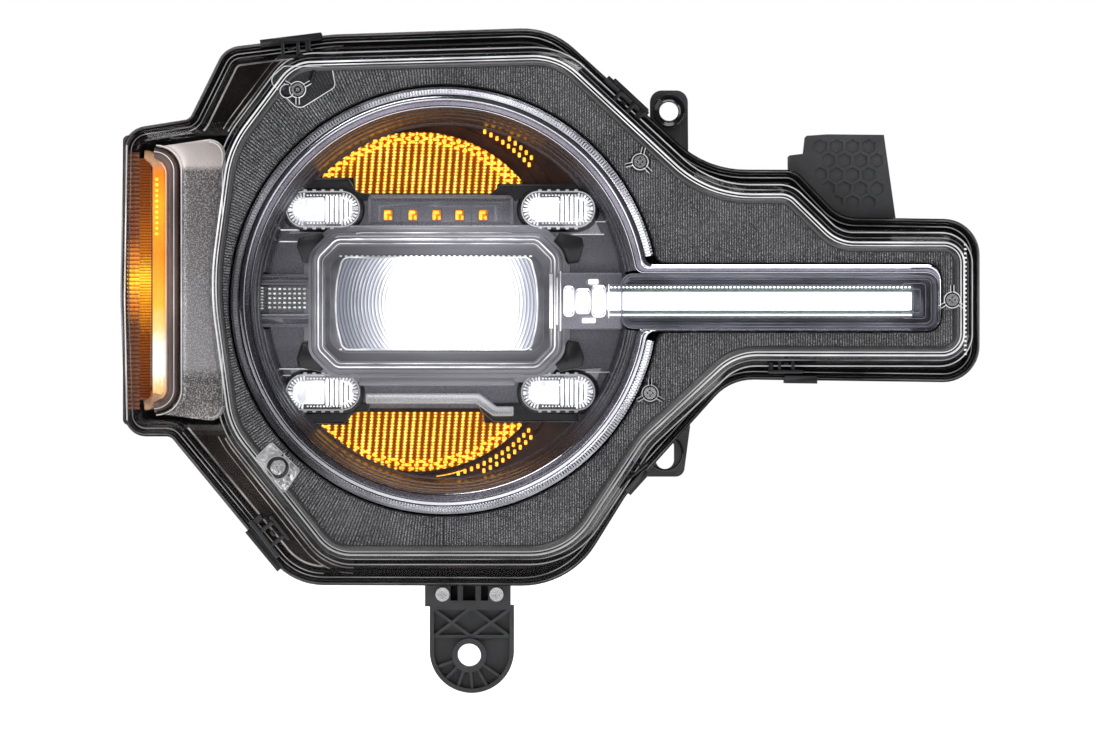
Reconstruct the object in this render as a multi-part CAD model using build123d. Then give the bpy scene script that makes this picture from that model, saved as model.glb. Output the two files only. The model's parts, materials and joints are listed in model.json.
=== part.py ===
from build123d import *
import math
import os

# Right-hand LED car headlight: one projector, four accent lights, two amber turn
# signals and a side marker, with a daytime light bar in its inboard arm.
#
# Frame: +X runs inboard along the arm, -Y faces the road, +Z is up, millimetres.
# The origin is the front of the bolt boss on the lower bracket.
# Outlines are drawn as seen from the front and measured from the round lamp's centre.

# Driving dimensions -----------------------------------------------------------
LAMP_X = -12.9          # lamp centre from the lower bracket's bolt
LAMP_Z = 197.5

LENS_FRONT = -62.0      # depths along Y, front to back
LENS_STEP = -38.0
LENS_BACK = -30.0
LENS_WALL = 2.5
LENS_FLARE = 6.0        # how far the lens sides spread from the face to the step
POD_FRONT = -54.0
SEAL = 1.5
RIM_BACK = -22.0
SHELL_BACK = 14.0
BOWL_SHOULDER = 70.0
BOWL_BACK = 98.0
WALL = 3.0

BOWL_RADIUS = 120.0
BOWL_BACK_RADIUS = 95.0
SERVICE_RADIUS = 45.0   # opening behind the projector

RIBBED_RING_RADIUS = 117.7
CHROME_RING_RADIUS = 113.0
MOUTH_RADIUS = 106.2
DECK_RADIUS = 98.0
BEZEL_FRONT = -54.0
BEZEL_GAP = 2.1         # inset of the bezel from the lens face
CHROME_FRONT = -56.0
BOWL_LIP = -50.9
DECK_FRONT = -20.0
DECK = 3.0

SLOT_TOP = 15.1         # light bar's channel in the arm
SLOT_BOTTOM = -15.7
SLOT_END = 271.4
SLOT_CORNER = 6.6
BAR_Z = -0.3

OPTIC_X = -4.7          # projector lens centre
OPTIC_Z = -1.4
OPTIC_WIDTH = 111.0
OPTIC_HEIGHT = 50.0
ACCENT_X = -2.5         # centre line of the four accent lights
ACCENT_SPREAD = 65.0
ACCENT_LEVELS = (50.7, -50.6)

PIVOT_SPREAD = 80.0     # aiming pivots
PIVOT_Y = 14.0
PIVOT_Z = 36.0
ADJUSTER_Z = -68.0
BALL = 5.0              # ball radius
PLAY = 0.3              # clearance between moving curved faces

SHUTTER_Y = -5.0        # beam shutter's shaft
SHUTTER_Z = -22.0
SHUTTER_PIN = 1.2
LINK_X = -4.7           # solenoid and link arm
SOLENOID_Z = -34.0
LINK_PIN_Z = -33.0

FIT = 0.1               # clearance of a pin in its hole
HALF_LID_SCREW = 1.6    # shank radius of the lid, bezel and bracket screws
HALF_BEZEL_SCREW = 1.8
HALF_BRACKET_SCREW = 2.5
HALF_PIVOT_STUD = 2.5

# Outer silhouette: corner x, corner z, corner radius, clockwise from the pod
SILHOUETTE = [
    (-141.0, 100.4, 5.0),
    (-121.5, 139.8, 14.0),
    (-62.0, 147.2, 120.0),
    (58.6, 151.0, 42.0),
    (144.8, 72.6, 55.0),
    (193.5, 72.4, 12.0),
    (218.5, 46.2, 20.0),
    (295.2, 45.0, 20.0),
    (295.2, -45.2, 20.0),
    (157.7, -43.4, 28.0),
    (100.0, -107.5, 30.0),
    (69.0, -157.5, 48.0),
    (-84.0, -157.0, 36.0),
    (-151.5, -74.9, 5.0),
    (-176.5, -74.9, 12.0),
    (-179.3, 2.5, 400.0),
    (-177.5, 94.6, 14.0),
]

# Front face of the lens over the bezel
FACE = [
    (-129.2, 8.0, 160.0),
    (-119.0, 84.0, 60.0),
    (-83.5, 131.3, 22.0),
    (62.9, 135.2, 36.0),
    (145.0, 59.0, 60.0),
    (189.5, 59.0, 12.0),
    (216.5, 32.7, 22.0),
    (286.0, 32.5, 12.0),
    (286.0, -31.1, 13.0),
    (160.0, -30.9, 30.0),
    (110.5, -77.0, 40.0),
    (68.5, -140.5, 40.0),
    (-62.3, -140.5, 24.0),
    (-118.5, -69.5, 45.0),
]

# Lens bulge over the side marker, at its foot and at its front
POD_FOOT = [(-176.5, 93.2, 12.0), (-105.0, 100.0, 3.0), (-105.0, -74.2, 3.0), (-174.5, -73.5, 12.0)]
POD_FACE = [(-168.0, 88.0, 8.0), (-105.0, 96.0, 3.0), (-105.0, -70.0, 3.0), (-166.5, -68.0, 8.0)]

# Trim pieces
MARKER_TOP = 80.0
MARKER_BOTTOM = -56.0
BEZEL_SCREWS = [(-80.6, 115.8), (107.5, 76.2), (-90.5, -91.0), (113.0, -50.9), (279.0, 0.3)]
SCREW_PLATE = [(-94.0, -78.4), (-79.0, -93.2), (-88.0, -105.3), (-103.0, -87.7)]
SCREW_POCKET = [(-94.0, 122.0), (-63.0, 120.5), (-65.0, 109.0), (-82.0, 104.0)]

# Clips over the lens seam: centre x, centre z, direction in degrees, length
CLIPS = [
    (-85.0, 144.34, 7.09, 34.0),
    (100.5, 112.9, -42.29, 30.0),
    (-100.0, -137.54, 129.43, 28.0),
    (106.5, -100.28, 228.0, 16.0),
    (196.5, -43.91, 179.25, 18.0),
]

# Mounts
BOLT_BORE = 6.5         # lower bracket
EAR_BORE = 5.35         # upper ear of the side bracket
EAR_X = 124.6
EAR_Z = 106.7
SLOT_EAR_X = 122.4      # slotted lower ear
SLOT_EAR_Z = -84.9
SLOT_EAR_WIDTH = 10.2
SLOT_EAR_HEIGHT = 17.6

# Repeated places: centre x, centre z
BRACKET_SCREWS = [(-1.8, -163.0), (28.2, -163.0)]
SIDE_SCREWS = [(129.5, 62.0), (129.5, 2.0), (129.5, -48.0)]
DRIVER_SCREWS = [(154.0, 24.0), (222.0, 24.0), (154.0, -24.0), (222.0, -24.0)]
VENTS = [(56.0, 50.0), (-61.0, 46.0)]
LED_WINDOWS = [(-31.6, 47.5), (-17.9, 47.5), (-4.7, 47.5), (8.0, 47.5), (21.0, 47.5)]
LED_SPOTS = [(-26.0, 8.0), (16.6, 8.0)]
CONNECTOR = (-52.5, -52.25)


# Drawing helpers ----------------------------------------------------------------
def grown(corners, by):
    """A clockwise rounded outline moved outwards by a distance, or inwards if negative."""
    moved = []
    for i, (x, z, radius) in enumerate(corners):
        before = corners[i - 1]
        after = corners[(i + 1) % len(corners)]
        inward = Vector(x - before[0], z - before[1]).normalized()
        onward = Vector(after[0] - x, after[1] - z).normalized()
        normal_in = Vector(-inward.Y, inward.X)
        normal_on = Vector(-onward.Y, onward.X)
        shift = (normal_in + normal_on) * (by / (1 + normal_in.dot(normal_on)))
        convex = inward.cross(onward).Z < 0
        moved.append((x + shift.X, z + shift.Y, radius + by if convex else radius - by))
    return moved


def outline(corners, grow=0.0):
    """Face inside rounded corners."""
    if grow:
        corners = grown(corners, grow)
    points = [(x, z) for x, z, _ in corners]
    radii = [max(radius, 0.4) for _, _, radius in corners]
    return make_face(FilletPolyline(*points, radius=radii, close=True))


def polygon(points):
    return make_face(Polyline(*points, close=True))


def drawn_at(depth):
    """Plane of an outline at a depth: x runs inboard and y runs up from the lamp's centre."""
    return Plane(origin=(LAMP_X, depth, LAMP_Z), x_dir=(1, 0, 0), z_dir=(0, -1, 0))


def slab(shape, front, back):
    return extrude(drawn_at(back) * shape, amount=back - front)


def tapered(front_shape, front, back_shape, back):
    return loft([drawn_at(back) * back_shape, drawn_at(front) * front_shape], ruled=True)


def panel(left, right, bottom, top, radius=0.0):
    """Rectangle given by its sides."""
    size = (right - left, top - bottom)
    shape = RectangleRounded(*size, radius) if radius else Rectangle(*size)
    return Pos((left + right) / 2, (bottom + top) / 2) * shape


def block(left, right, bottom, top, front, back, radius=0.0):
    return slab(panel(left, right, bottom, top, radius), front, back)


def disc(x, z, radius, front, back):
    return slab(Pos(x, z) * Circle(radius), front, back)


def along_x(y, z, radius, left, right):
    """Round bar along X."""
    start = Plane(origin=(LAMP_X + left, y, LAMP_Z + z), x_dir=(0, 1, 0), z_dir=(1, 0, 0))
    return extrude(start * Circle(radius), amount=right - left)


def ball(x, y, z, radius):
    return Pos(LAMP_X + x, y, LAMP_Z + z) * Sphere(radius)


def screw(x, z, head_front, head_radius, head_height, shank_radius, shank_length):
    """Pan-head screw along Y with a cross recess, its head towards the front."""
    seat = head_front + head_height
    body = disc(x, z, head_radius, head_front, seat) + disc(x, z, shank_radius, seat, seat + shank_length)
    recess = panel(x - head_radius * 0.55, x + head_radius * 0.55, z - 0.5, z + 0.5)
    recess += panel(x - 0.5, x + 0.5, z - head_radius * 0.55, z + head_radius * 0.55)
    return body - slab(recess, head_front - 1, head_front + head_height * 0.5)


def rear_screw(x, z, head_back, head_radius, head_height, shank_radius, shank_length):
    """Hex-head screw along Y, its head towards the back."""
    seat = head_back - head_height
    head = slab(Pos(x, z) * RegularPolygon(head_radius, 6), seat, head_back)
    return head + disc(x, z, shank_radius, seat - shank_length, seat)


def circle_points(count, radius, start=0.0):
    for i in range(count):
        angle = math.radians(start + 360 * i / count)
        yield radius * math.cos(angle), radius * math.sin(angle)


# Outer shell ----------------------------------------------------------------------
def lens_form(inset):
    """Outside of the clear lens, or with an inset the space inside it."""
    skirt = slab(outline(SILHOUETTE, -inset), LENS_STEP + inset, LENS_BACK)
    front, step = LENS_FRONT + inset, LENS_STEP + inset
    face = tapered(outline(FACE, -inset), front, outline(FACE, LENS_FLARE - inset), step)
    pod = tapered(outline(POD_FACE, -inset), POD_FRONT + inset, outline(POD_FOOT, -inset), step)
    return skirt + face + pod


def front_lens():
    return lens_form(0.0) - lens_form(LENS_WALL)


def lens_seal():
    band = outline(SILHOUETTE, -0.5) - outline(SILHOUETTE, -4.5)
    return slab(band, LENS_BACK, LENS_BACK + SEAL)


def ear_slot(grow=0.0):
    """Upright slot of the lower ear."""
    size = (SLOT_EAR_HEIGHT + 2 * grow, SLOT_EAR_WIDTH + 2 * grow)
    return Pos(SLOT_EAR_X, SLOT_EAR_Z) * Rot(0, 0, 90) * SlotOverall(*size)


def housing():
    rim_front = LENS_BACK + SEAL
    cone_outer = tapered(Circle(BOWL_RADIUS), BOWL_SHOULDER, Circle(BOWL_BACK_RADIUS), BOWL_BACK)
    cone_inner = tapered(
        Circle(BOWL_RADIUS - WALL), BOWL_SHOULDER - 1, Circle(BOWL_BACK_RADIUS - WALL), BOWL_BACK - WALL
    )
    body = slab(outline(SILHOUETTE), rim_front, RIM_BACK)
    body += slab(outline(SILHOUETTE, -3.0), RIM_BACK, SHELL_BACK)
    body += disc(0, 0, BOWL_RADIUS, SHELL_BACK, BOWL_SHOULDER) + cone_outer
    body -= slab(outline(SILHOUETTE, -6.0), rim_front, SHELL_BACK - WALL)
    body -= disc(0, 0, BOWL_RADIUS - WALL, SHELL_BACK - WALL - 1, BOWL_SHOULDER - 1) + cone_inner
    body -= disc(0, 0, SERVICE_RADIUS, BOWL_BACK - WALL - 1, BOWL_BACK)

    # posts that carry the aiming pivots
    for side in (-1, 1):
        x = ACCENT_X + side * PIVOT_SPREAD
        body += disc(x, PIVOT_Z, 7.0, 28, BOWL_BACK - 1)
        body -= disc(x, PIVOT_Z, HALF_PIVOT_STUD + FIT, 28, 42)

    # stiffening ribs on the back of the arm, clear of the driver and the bracket
    for x in (240.0, 262.0):
        body += block(x - 1.2, x + 1.2, -36.0, 36.0, SHELL_BACK - 0.5, SHELL_BACK + 6)

    # tongue behind the lower bracket
    body += block(-9.0, 33.5, -172.0, -150.0, 12.2, 17.2)
    for x, z in BRACKET_SCREWS:
        body -= disc(x, z, HALF_BRACKET_SCREW + FIT, 12, 18)

    # walled scallop in the shell that leaves room for the bolt in the slotted ear
    body += slab(ear_slot(8.0) & outline(SILHOUETTE, -3.0), RIM_BACK, SHELL_BACK)
    body -= slab(ear_slot(5.0), RIM_BACK + WALL, SHELL_BACK)

    # openings in the rear wall
    body -= disc(ACCENT_X, ADJUSTER_Z, 4.0, BOWL_BACK - 5, BOWL_BACK)
    x, z = CONNECTOR
    body -= block(x - 12.5, x + 12.5, z - 4.75, z + 4.75, BOWL_BACK - 5, BOWL_BACK)
    for x, z in VENTS:
        body -= disc(x, z, 3.5 + FIT, BOWL_BACK - 5, BOWL_BACK)
    for x, z in cover_screw_places():
        body -= disc(x, z, HALF_LID_SCREW + FIT, BOWL_BACK - 5, BOWL_BACK)
    for x, z in DRIVER_SCREWS:
        body -= disc(x, z, HALF_LID_SCREW + FIT, SHELL_BACK - 5, SHELL_BACK)
    for x, z in SIDE_SCREWS:
        body -= disc(x, z, HALF_BRACKET_SCREW + FIT, SHELL_BACK - 5, SHELL_BACK)
    return body


def lens_clips():
    """Spring clips that grip the lens flange and the housing rim."""
    clips = []
    for x, z, direction, length in CLIPS:
        place = Pos(x, z) * Rot(0, 0, direction)
        strap = slab(place * Pos(0, 0.9) * Rectangle(length, 1.6), -40.0, -20.0)
        hooks = slab(place * Pos(0, -0.4) * Rectangle(length, 4.2), -39.9, LENS_STEP - 0.1)
        hooks += slab(place * Pos(0, -0.4) * Rectangle(length, 4.2), RIM_BACK + 0.1, -20.1)
        clips.append(strap + hooks)
    return clips


# Bezel and rings --------------------------------------------------------------------
def mouth(radius, lip_top, lip_bottom):
    """Round mouth with the light bar's channel running out of it."""
    shape = Circle(radius) + panel(0, SLOT_END + lip_bottom, SLOT_BOTTOM - lip_bottom, SLOT_TOP + lip_top)
    ends = shape.vertices().filter_by(lambda v: v.X > SLOT_END - 1)
    shape = fillet(ends, SLOT_CORNER)
    joins = shape.vertices().filter_by(lambda v: radius * 0.9 < v.X < radius + 0.1)
    return fillet(joins, 5.0)


def bezel():
    opening = mouth(RIBBED_RING_RADIUS + 0.3, 5.2, 1.7)
    body = slab(outline(FACE, -BEZEL_GAP) - opening, BEZEL_FRONT, BEZEL_FRONT + 2.5)
    body += slab(outline(FACE, -BEZEL_GAP) - outline(FACE, -BEZEL_GAP - 2), BEZEL_FRONT, RIM_BACK)
    body += slab(polygon(SCREW_PLATE), BEZEL_FRONT - 1.2, BEZEL_FRONT)
    body -= slab(polygon(SCREW_POCKET), BEZEL_FRONT - 1, BEZEL_FRONT + 1.0)
    for x, z in BEZEL_SCREWS:
        body += disc(x, z, 4.2, BEZEL_FRONT + 1, BEZEL_FRONT + 9)
        body -= disc(x, z, HALF_BEZEL_SCREW + FIT, BEZEL_FRONT - 2, BEZEL_FRONT + 10)
    return body


def bezel_screws():
    """Each head sits on what the bezel has under it: a pocket, a plate or the plain face."""
    screws = []
    for i, (x, z) in enumerate(BEZEL_SCREWS):
        seat = BEZEL_FRONT + (1.0, 0.0, -1.2, 0.0, 0.0)[i]
        screws.append(screw(x, z, seat - 2.4, 3.4, 2.4, HALF_BEZEL_SCREW, 7.5))
    return screws


def ribbed_ring():
    band = Circle(RIBBED_RING_RADIUS) - Circle(CHROME_RING_RADIUS + 0.2)
    band -= panel(60, 130, SLOT_BOTTOM - 6.5, SLOT_TOP + 10.0)
    return slab(band, CHROME_FRONT - 0.5, BOWL_LIP + 1.9)


def chrome_trim():
    """Bright ring that opens into the lip of the light bar's channel."""
    band = mouth(CHROME_RING_RADIUS, 4.9, 1.4) - mouth(MOUTH_RADIUS, 0.0, 0.0)
    return slab(band, CHROME_FRONT, BOWL_LIP - 0.1)


# Round bowl and what stands on its deck -------------------------------------------------
def turn_window(grow=0.0):
    """Upper and lower crescent windows of the turn signals."""
    upper = Pos(-15.7, 17.7) * Circle(76.0 + grow)
    upper &= panel(-90, 90, 59.7 - grow, 110)
    upper -= panel(-100, -50 - grow, 50, 68.5 - grow)
    upper -= panel(28 + grow, 60, 50, 65.0 - grow)
    lower = Pos(-16.0, -13.7) * Circle(80.6 + grow)
    lower &= panel(-90, 90, -110, -61.5 + grow)
    lower -= panel(-100, -53.5 - grow, -68.6 + grow, -50)
    lower -= panel(21.0 + grow, 60, -67.5 + grow, -50)
    rim = Circle(DECK_RADIUS - 0.3)
    return upper & rim, lower & rim


def accent_places():
    for level in ACCENT_LEVELS:
        for side in (-1, 1):
            yield ACCENT_X + side * ACCENT_SPREAD, level


def accent_outline(grow=0.0):
    return RectangleRounded(40.7 + 2 * grow, 20.0 + 2 * grow, 9.9 + grow)


def bowl_space(grow=0.0):
    """Tapering space inside the bowl, in front of its deck."""
    return tapered(Circle(MOUTH_RADIUS + grow), BOWL_LIP, Circle(DECK_RADIUS + grow), DECK_FRONT)


def inner_bowl():
    outer = tapered(Circle(MOUTH_RADIUS + 2), BOWL_LIP, Circle(DECK_RADIUS + 2), DECK_FRONT + DECK)
    body = outer - bowl_space()
    body += slab(Circle(CHROME_RING_RADIUS - 0.5) - Circle(MOUTH_RADIUS + 1), BOWL_LIP, BOWL_LIP + 1.6)
    for window in turn_window(-1.0):
        body -= slab(window, DECK_FRONT - 1, DECK_FRONT + DECK)
    for x, z in accent_places():
        body -= slab(Pos(x, z) * accent_outline(-2.0), DECK_FRONT - 1, DECK_FRONT + DECK)
    body -= slab(projector_window(), DECK_FRONT - 1, DECK_FRONT + DECK)
    body -= block(-112, -96, -15.3, 15.6, -38, DECK_FRONT + DECK)
    body -= block(60, 120, SLOT_BOTTOM - 0.3, SLOT_TOP + 0.3, BOWL_LIP - 1, -33.5)
    for x, z in LED_WINDOWS:
        body -= disc(x, z, 1.8, DECK_FRONT - 1, DECK_FRONT + DECK)
    return body


def projector_window(grow=0.0):
    """Eight-sided opening round the projector, with room for it to tilt."""
    corners = [
        (-66.5, 22.5), (-58.5, 30.5), (49.5, 30.5), (57.5, 22.5),
        (57.5, -25.5), (49.5, -33.5), (-58.5, -33.5), (-66.5, -25.5),
    ]
    centre_x, centre_z = -4.5, -1.5
    return polygon([
        (x + math.copysign(grow, x - centre_x), z + math.copysign(grow, z - centre_z)) for x, z in corners
    ])


def projector_surround():
    ring = projector_window(2.6) - projector_window()
    frame = slab(ring, -44.0, DECK_FRONT)
    sill = block(-50.0, 41.0, -40.0, -35.8, -38.0, DECK_FRONT)
    return frame + sill


def turn_lens(window):
    return slab(window, -24.0, DECK_FRONT)


def turn_reflector(window_outer, window_inner):
    shell = slab(window_outer, DECK_FRONT + DECK, -3.0)
    return shell - slab(window_inner, DECK_FRONT + DECK, -4.5)


def turn_led_boards():
    return [block(-46.0, 16.0, bottom, bottom + 19.0, -2.9, -1.3) for bottom in (64.5, -84.5)]


def accent_lens(x, z):
    """Clear capsule with a softly rounded front."""
    body = slab(Pos(x, z) * accent_outline(), -36.0, DECK_FRONT)
    front = body.faces().sort_by(Axis.Y)[0]
    body = fillet(front.edges(), 4.0)
    return body & bowl_space(-0.3)


def upper_trim_bar():
    """Dark bar between the upper accent lights, with five amber windows."""
    shape = outline([
        (-43.0, 58.8, 2.0), (38.0, 58.8, 2.0), (38.0, 42.0, 2.0), (30.0, 36.2, 2.0),
        (-35.0, 36.2, 2.0), (-43.0, 42.0, 2.0),
    ])
    for x, z in LED_WINDOWS:
        shape -= Pos(x, z) * Rectangle(4.8, 5.8)
    return slab(shape, -30.0, DECK_FRONT)


def amber_windows():
    return [block(x - 2.3, x + 2.3, z - 2.8, z + 2.8, -29.0, DECK_FRONT) for x, z in LED_WINDOWS]


def lower_trim_bar():
    """Silver strip under the projector that steps down round the lower window."""
    path = [
        (-44.0, -51.0), (19.0, -51.0), (28.5, -58.2), (38.0, -58.2),
        (38.0, -64.0), (26.5, -64.0), (17.0, -57.0), (-44.0, -57.0),
    ]
    return slab(polygon(path), -31.0, -24.2) + block(-40.0, 15.0, -56.0, -52.0, -24.2, DECK_FRONT)


def side_optic():
    return block(-103.7, -72.3, -6.9, 8.5, -36.0, -26.0, 1.5)


def side_optic_frame():
    body = block(-106.0, -70.7, -14.6, 15.0, -33.0, -22.0, 2.0)
    body -= block(-103.8, -72.2, -7.0, 8.6, -34.0, -26.0)
    foot = block(-94.0, -76.0, -10.0, 10.0, -22.0, DECK_FRONT)
    return body + foot


# Projector module --------------------------------------------------------------------
def optic_outline(grow=0.0):
    """Lens outline: flat top and bottom with slightly bowed ends."""
    half = OPTIC_WIDTH / 2 + grow
    high = OPTIC_HEIGHT / 2 + grow
    bow = 4.0
    edge = Polyline((-half + bow, high), (half - bow, high))
    edge += ThreePointArc((half - bow, high), (half, 0), (half - bow, -high))
    edge += Polyline((half - bow, -high), (-half + bow, -high))
    edge += ThreePointArc((-half + bow, -high), (-half, 0), (-half + bow, high))
    return Pos(OPTIC_X, OPTIC_Z) * make_face(edge)


def projector_lens():
    front = -41.0
    crown = 170.0
    body = slab(optic_outline(), front, -24.0)
    return body & ball(OPTIC_X, front + crown, OPTIC_Z, crown)


def lens_holder():
    body = block(-64.0, 55.0, -29.0, 26.0, -32.5, -12.0, 10.0)
    body -= slab(optic_outline(FIT), -33.0, -23.9)
    return body - block(-54.0, 45.0, -24.0, 21.0, -25.0, -12.0)


def projector_housing():
    body = block(-56.0, 47.0, -26.0, 23.0, -11.9, 30.0, 3.0)
    body -= block(-54.0, 45.0, -24.0, 21.0, -11.9, 30.0, 1.5)
    body -= along_x(SHUTTER_Y, SHUTTER_Z, SHUTTER_PIN + 0.06, -60, 60)
    return body - block(LINK_X + 1.4, LINK_X + 4.4, -27.0, -23.0, -8.5, 3.5)


def projector_reflector():
    """Two domed cups over the light sources."""
    cups = Part()
    for x, _ in LED_SPOTS:
        cups += ball(x, 28.0, -1.0, 20.8) - ball(x, 28.0, -1.0, 19.3)
    cups &= block(-50.0, 41.0, -1.0, 20.8, 4.0, 28.0)
    return cups + block(-48.0, 39.0, -1.0, 20.5, 28.0, 30.0) - led_holes()


def led_holes():
    holes = Part()
    for x, z in LED_SPOTS:
        holes += disc(x, z, 5.0, 26, 31)
    return holes


def projector_led_board():
    board = block(-54.0, 45.0, -24.0, 21.0, 30.1, 31.7, 2.0)
    for x, z in LED_SPOTS:
        board += block(x - 3.0, x + 3.0, z - 2.5, z + 2.5, 29.2, 30.1)
    return board


def heat_sink():
    body = block(-54.0, 45.0, -27.0, 24.0, 31.8, 36.0, 3.0)
    fins = 12
    for i in range(fins):
        x = -52.0 + i * 95.0 / (fins - 1)
        body += block(x - 0.9, x + 0.9, -25.0, 22.0, 36.0, 74.0)
    return body


def carrier_frame():
    """Plate that carries the projector on two pivots and one adjuster."""
    shape = outline([
        (-94.0, 47.0, 8.0), (89.0, 47.0, 8.0), (89.0, 24.0, 8.0), (26.0, -52.0, 8.0), (10.0, -79.0, 8.0),
        (-15.0, -79.0, 8.0), (-31.0, -52.0, 8.0), (-94.0, 24.0, 8.0),
    ])
    shape -= panel(-56.1, 47.1, -26.1, 23.1, 3.1)
    shape -= panel(LINK_X - 11.0, LINK_X + 11.0, -45.0, -25.0)
    for x, z in socket_places():
        shape -= Pos(x, z) * Circle(8.0 + FIT)
    return slab(shape, 6.0, 10.0)


def socket_places():
    yield ACCENT_X - PIVOT_SPREAD, PIVOT_Z
    yield ACCENT_X + PIVOT_SPREAD, PIVOT_Z
    yield ACCENT_X, ADJUSTER_Z


def ball_sockets():
    sockets = []
    for x, z in socket_places():
        body = disc(x, z, 8.0, 5.0, 18.0) + disc(x, z, 9.5, 10.0, 12.0)
        body -= ball(x, PIVOT_Y, z, BALL + PLAY)
        sockets.append(body - disc(x, z, 4.6, PIVOT_Y, 18.5))
    return sockets


def solenoid():
    coil = disc(LINK_X, SOLENOID_Z, 7.0, 8.0, 28.0)
    foot = block(LINK_X - 8.0, LINK_X + 8.0, -27.5, -26.0, 10.0, 26.0)
    neck = block(LINK_X - 5.0, LINK_X + 5.0, -29.5, -27.4, 10.0, 26.0)
    return coil + foot + neck - disc(LINK_X, SOLENOID_Z, 2.6, 7.0, 26.0)


def solenoid_plunger():
    """Rod with a slotted blade that drives the shutter's link pin."""
    rod = disc(LINK_X, SOLENOID_Z, 2.5, -2.5, 17.0)
    blade = block(LINK_X - 1.0, LINK_X + 1.0, -37.5, -29.0, -8.5, -2.0)
    slot = block(LINK_X - 2.0, LINK_X + 2.0, -35.5, -30.0, SHUTTER_Y - 1.4, SHUTTER_Y + 1.4)
    return rod + blade - slot


def beam_shutter():
    """Flap on a cross shaft, with a link arm down to the plunger."""
    flap = block(-50.0, 41.0, SHUTTER_Z, -5.0, SHUTTER_Y - 0.6, SHUTTER_Y + 0.6)
    flap -= block(-5.0, 41.5, -7.0, -4.0, SHUTTER_Y - 2, SHUTTER_Y + 2)
    shaft = along_x(SHUTTER_Y, SHUTTER_Z, SHUTTER_PIN, -55.8, 46.8)
    arm = block(LINK_X + 1.7, LINK_X + 3.9, -34.2, SHUTTER_Z, SHUTTER_Y - 1.0, SHUTTER_Y + 1.0)
    pin = along_x(SHUTTER_Y, LINK_PIN_Z, 1.0, LINK_X - 1.6, LINK_X + 2.0)
    return flap + shaft + arm + pin


# Aiming hardware ----------------------------------------------------------------------
def pivot_studs():
    studs = []
    for side in (-1, 1):
        x = ACCENT_X + side * PIVOT_SPREAD
        body = ball(x, PIVOT_Y, PIVOT_Z, BALL) + disc(x, PIVOT_Z, HALF_PIVOT_STUD, PIVOT_Y, 40.0)
        studs.append(body + disc(x, PIVOT_Z, 5.0, 26.0, 28.0))
    return studs


def adjuster_stud():
    return ball(ACCENT_X, PIVOT_Y, ADJUSTER_Z, BALL) + disc(ACCENT_X, ADJUSTER_Z, 3.0, PIVOT_Y, 117.5)


def adjuster_housing():
    body = block(-15.5, 10.5, -82.0, -54.5, BOWL_BACK, 112.0, 4.0)
    body += disc(ACCENT_X, ADJUSTER_Z, 8.5, 112.0, 113.5)
    body -= disc(ACCENT_X, ADJUSTER_Z, 4.0, BOWL_BACK, 103.0)
    body -= disc(ACCENT_X, ADJUSTER_Z, 10.0, 103.0, 108.0)
    return body - disc(ACCENT_X, ADJUSTER_Z, 6.3, 107.0, 114.0)


def adjuster_wheel():
    """Threaded hub with a fluted knob outside the gearbox."""
    body = disc(ACCENT_X, ADJUSTER_Z, 9.6, 103.4, 107.6) + disc(ACCENT_X, ADJUSTER_Z, 6.0, 107.6, 114.0)
    knob = Pos(ACCENT_X, ADJUSTER_Z) * Circle(9.5)
    for x, z in circle_points(12, 10.2):
        knob -= Pos(ACCENT_X + x, ADJUSTER_Z + z) * Circle(1.5)
    body += slab(knob, 114.0, 123.0)
    return body - disc(ACCENT_X, ADJUSTER_Z, 3.05, 103.0, 124.0)


# Light bar in the arm ---------------------------------------------------------------------
def drl_light_guide():
    body = block(88.9, 258.2, BAR_Z - 9.35, BAR_Z + 9.35, -50.0, -38.0)
    front = body.faces().sort_by(Axis.Y)[0]
    return fillet(front.edges().filter_by(Axis.X), 3.5)


def drl_collar():
    body = block(65.2, 88.8, BAR_Z - 8.0, BAR_Z + 8.0, -52.0, -37.0, 2.0)
    body += block(78.0, 85.5, BAR_Z + 7.0, BAR_Z + 11.5, -50.0, -40.0, 1.0)
    body += block(74.5, 84.0, BAR_Z - 11.5, BAR_Z - 7.0, -50.0, -40.0, 1.0)
    return body + block(69.0, 84.0, BAR_Z - 6.0, BAR_Z + 6.0, -37.0, DECK_FRONT)


def drl_tray():
    """Dark channel behind the light bar."""
    body = block(99.0, SLOT_END - 0.2, SLOT_BOTTOM + 0.1, SLOT_TOP - 0.1, BOWL_LIP, -34.0, 3.0)
    return body - block(98.0, SLOT_END - 1.7, SLOT_BOTTOM + 1.6, SLOT_TOP - 1.6, BOWL_LIP, -36.0)


def drl_led_board():
    return block(100.0, 262.0, BAR_Z - 8.0, BAR_Z + 8.0, -37.7, -36.1)


# Side marker ------------------------------------------------------------------------------
def marker_bezel():
    """Satin frame between the main bezel and the side marker."""
    shape = outline([(-145.5, 86.5, 6.0), (-108.0, 90.0, 1.0), (-108.0, -66.0, 1.0), (-145.5, -64.5, 6.0)])
    shape -= outline(FACE, -BEZEL_GAP + 0.5)
    face = slab(shape, -49.5, -46.5)
    wall = block(-145.5, -143.9, -60.0, 83.0, -49.0, -30.2)
    return face + wall


def marker_frame():
    """Smoky translucent frame beside the amber light pipe."""
    return block(-153.6, -145.8, MARKER_BOTTOM - 4.0, MARKER_TOP + 3.0, -46.0, -42.5, 1.5)


def marker_light_pipe():
    body = block(-161.4, -153.7, MARKER_BOTTOM, MARKER_TOP, -46.0, -38.0, 3.0)
    front = body.faces().sort_by(Axis.Y)[0]
    return fillet(front.edges(), 1.5)


def marker_inner_lens():
    """Two amber ribbed steps that turn back round the lamp's outboard side."""
    front_step = block(-168.6, -161.5, MARKER_BOTTOM + 4.0, MARKER_TOP - 3.0, -42.0, -35.2, 1.0)
    side_step = block(-172.9, -167.6, MARKER_BOTTOM + 4.0, MARKER_TOP - 3.0, -35.2, -30.2, 1.0)
    return front_step + side_step


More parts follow.
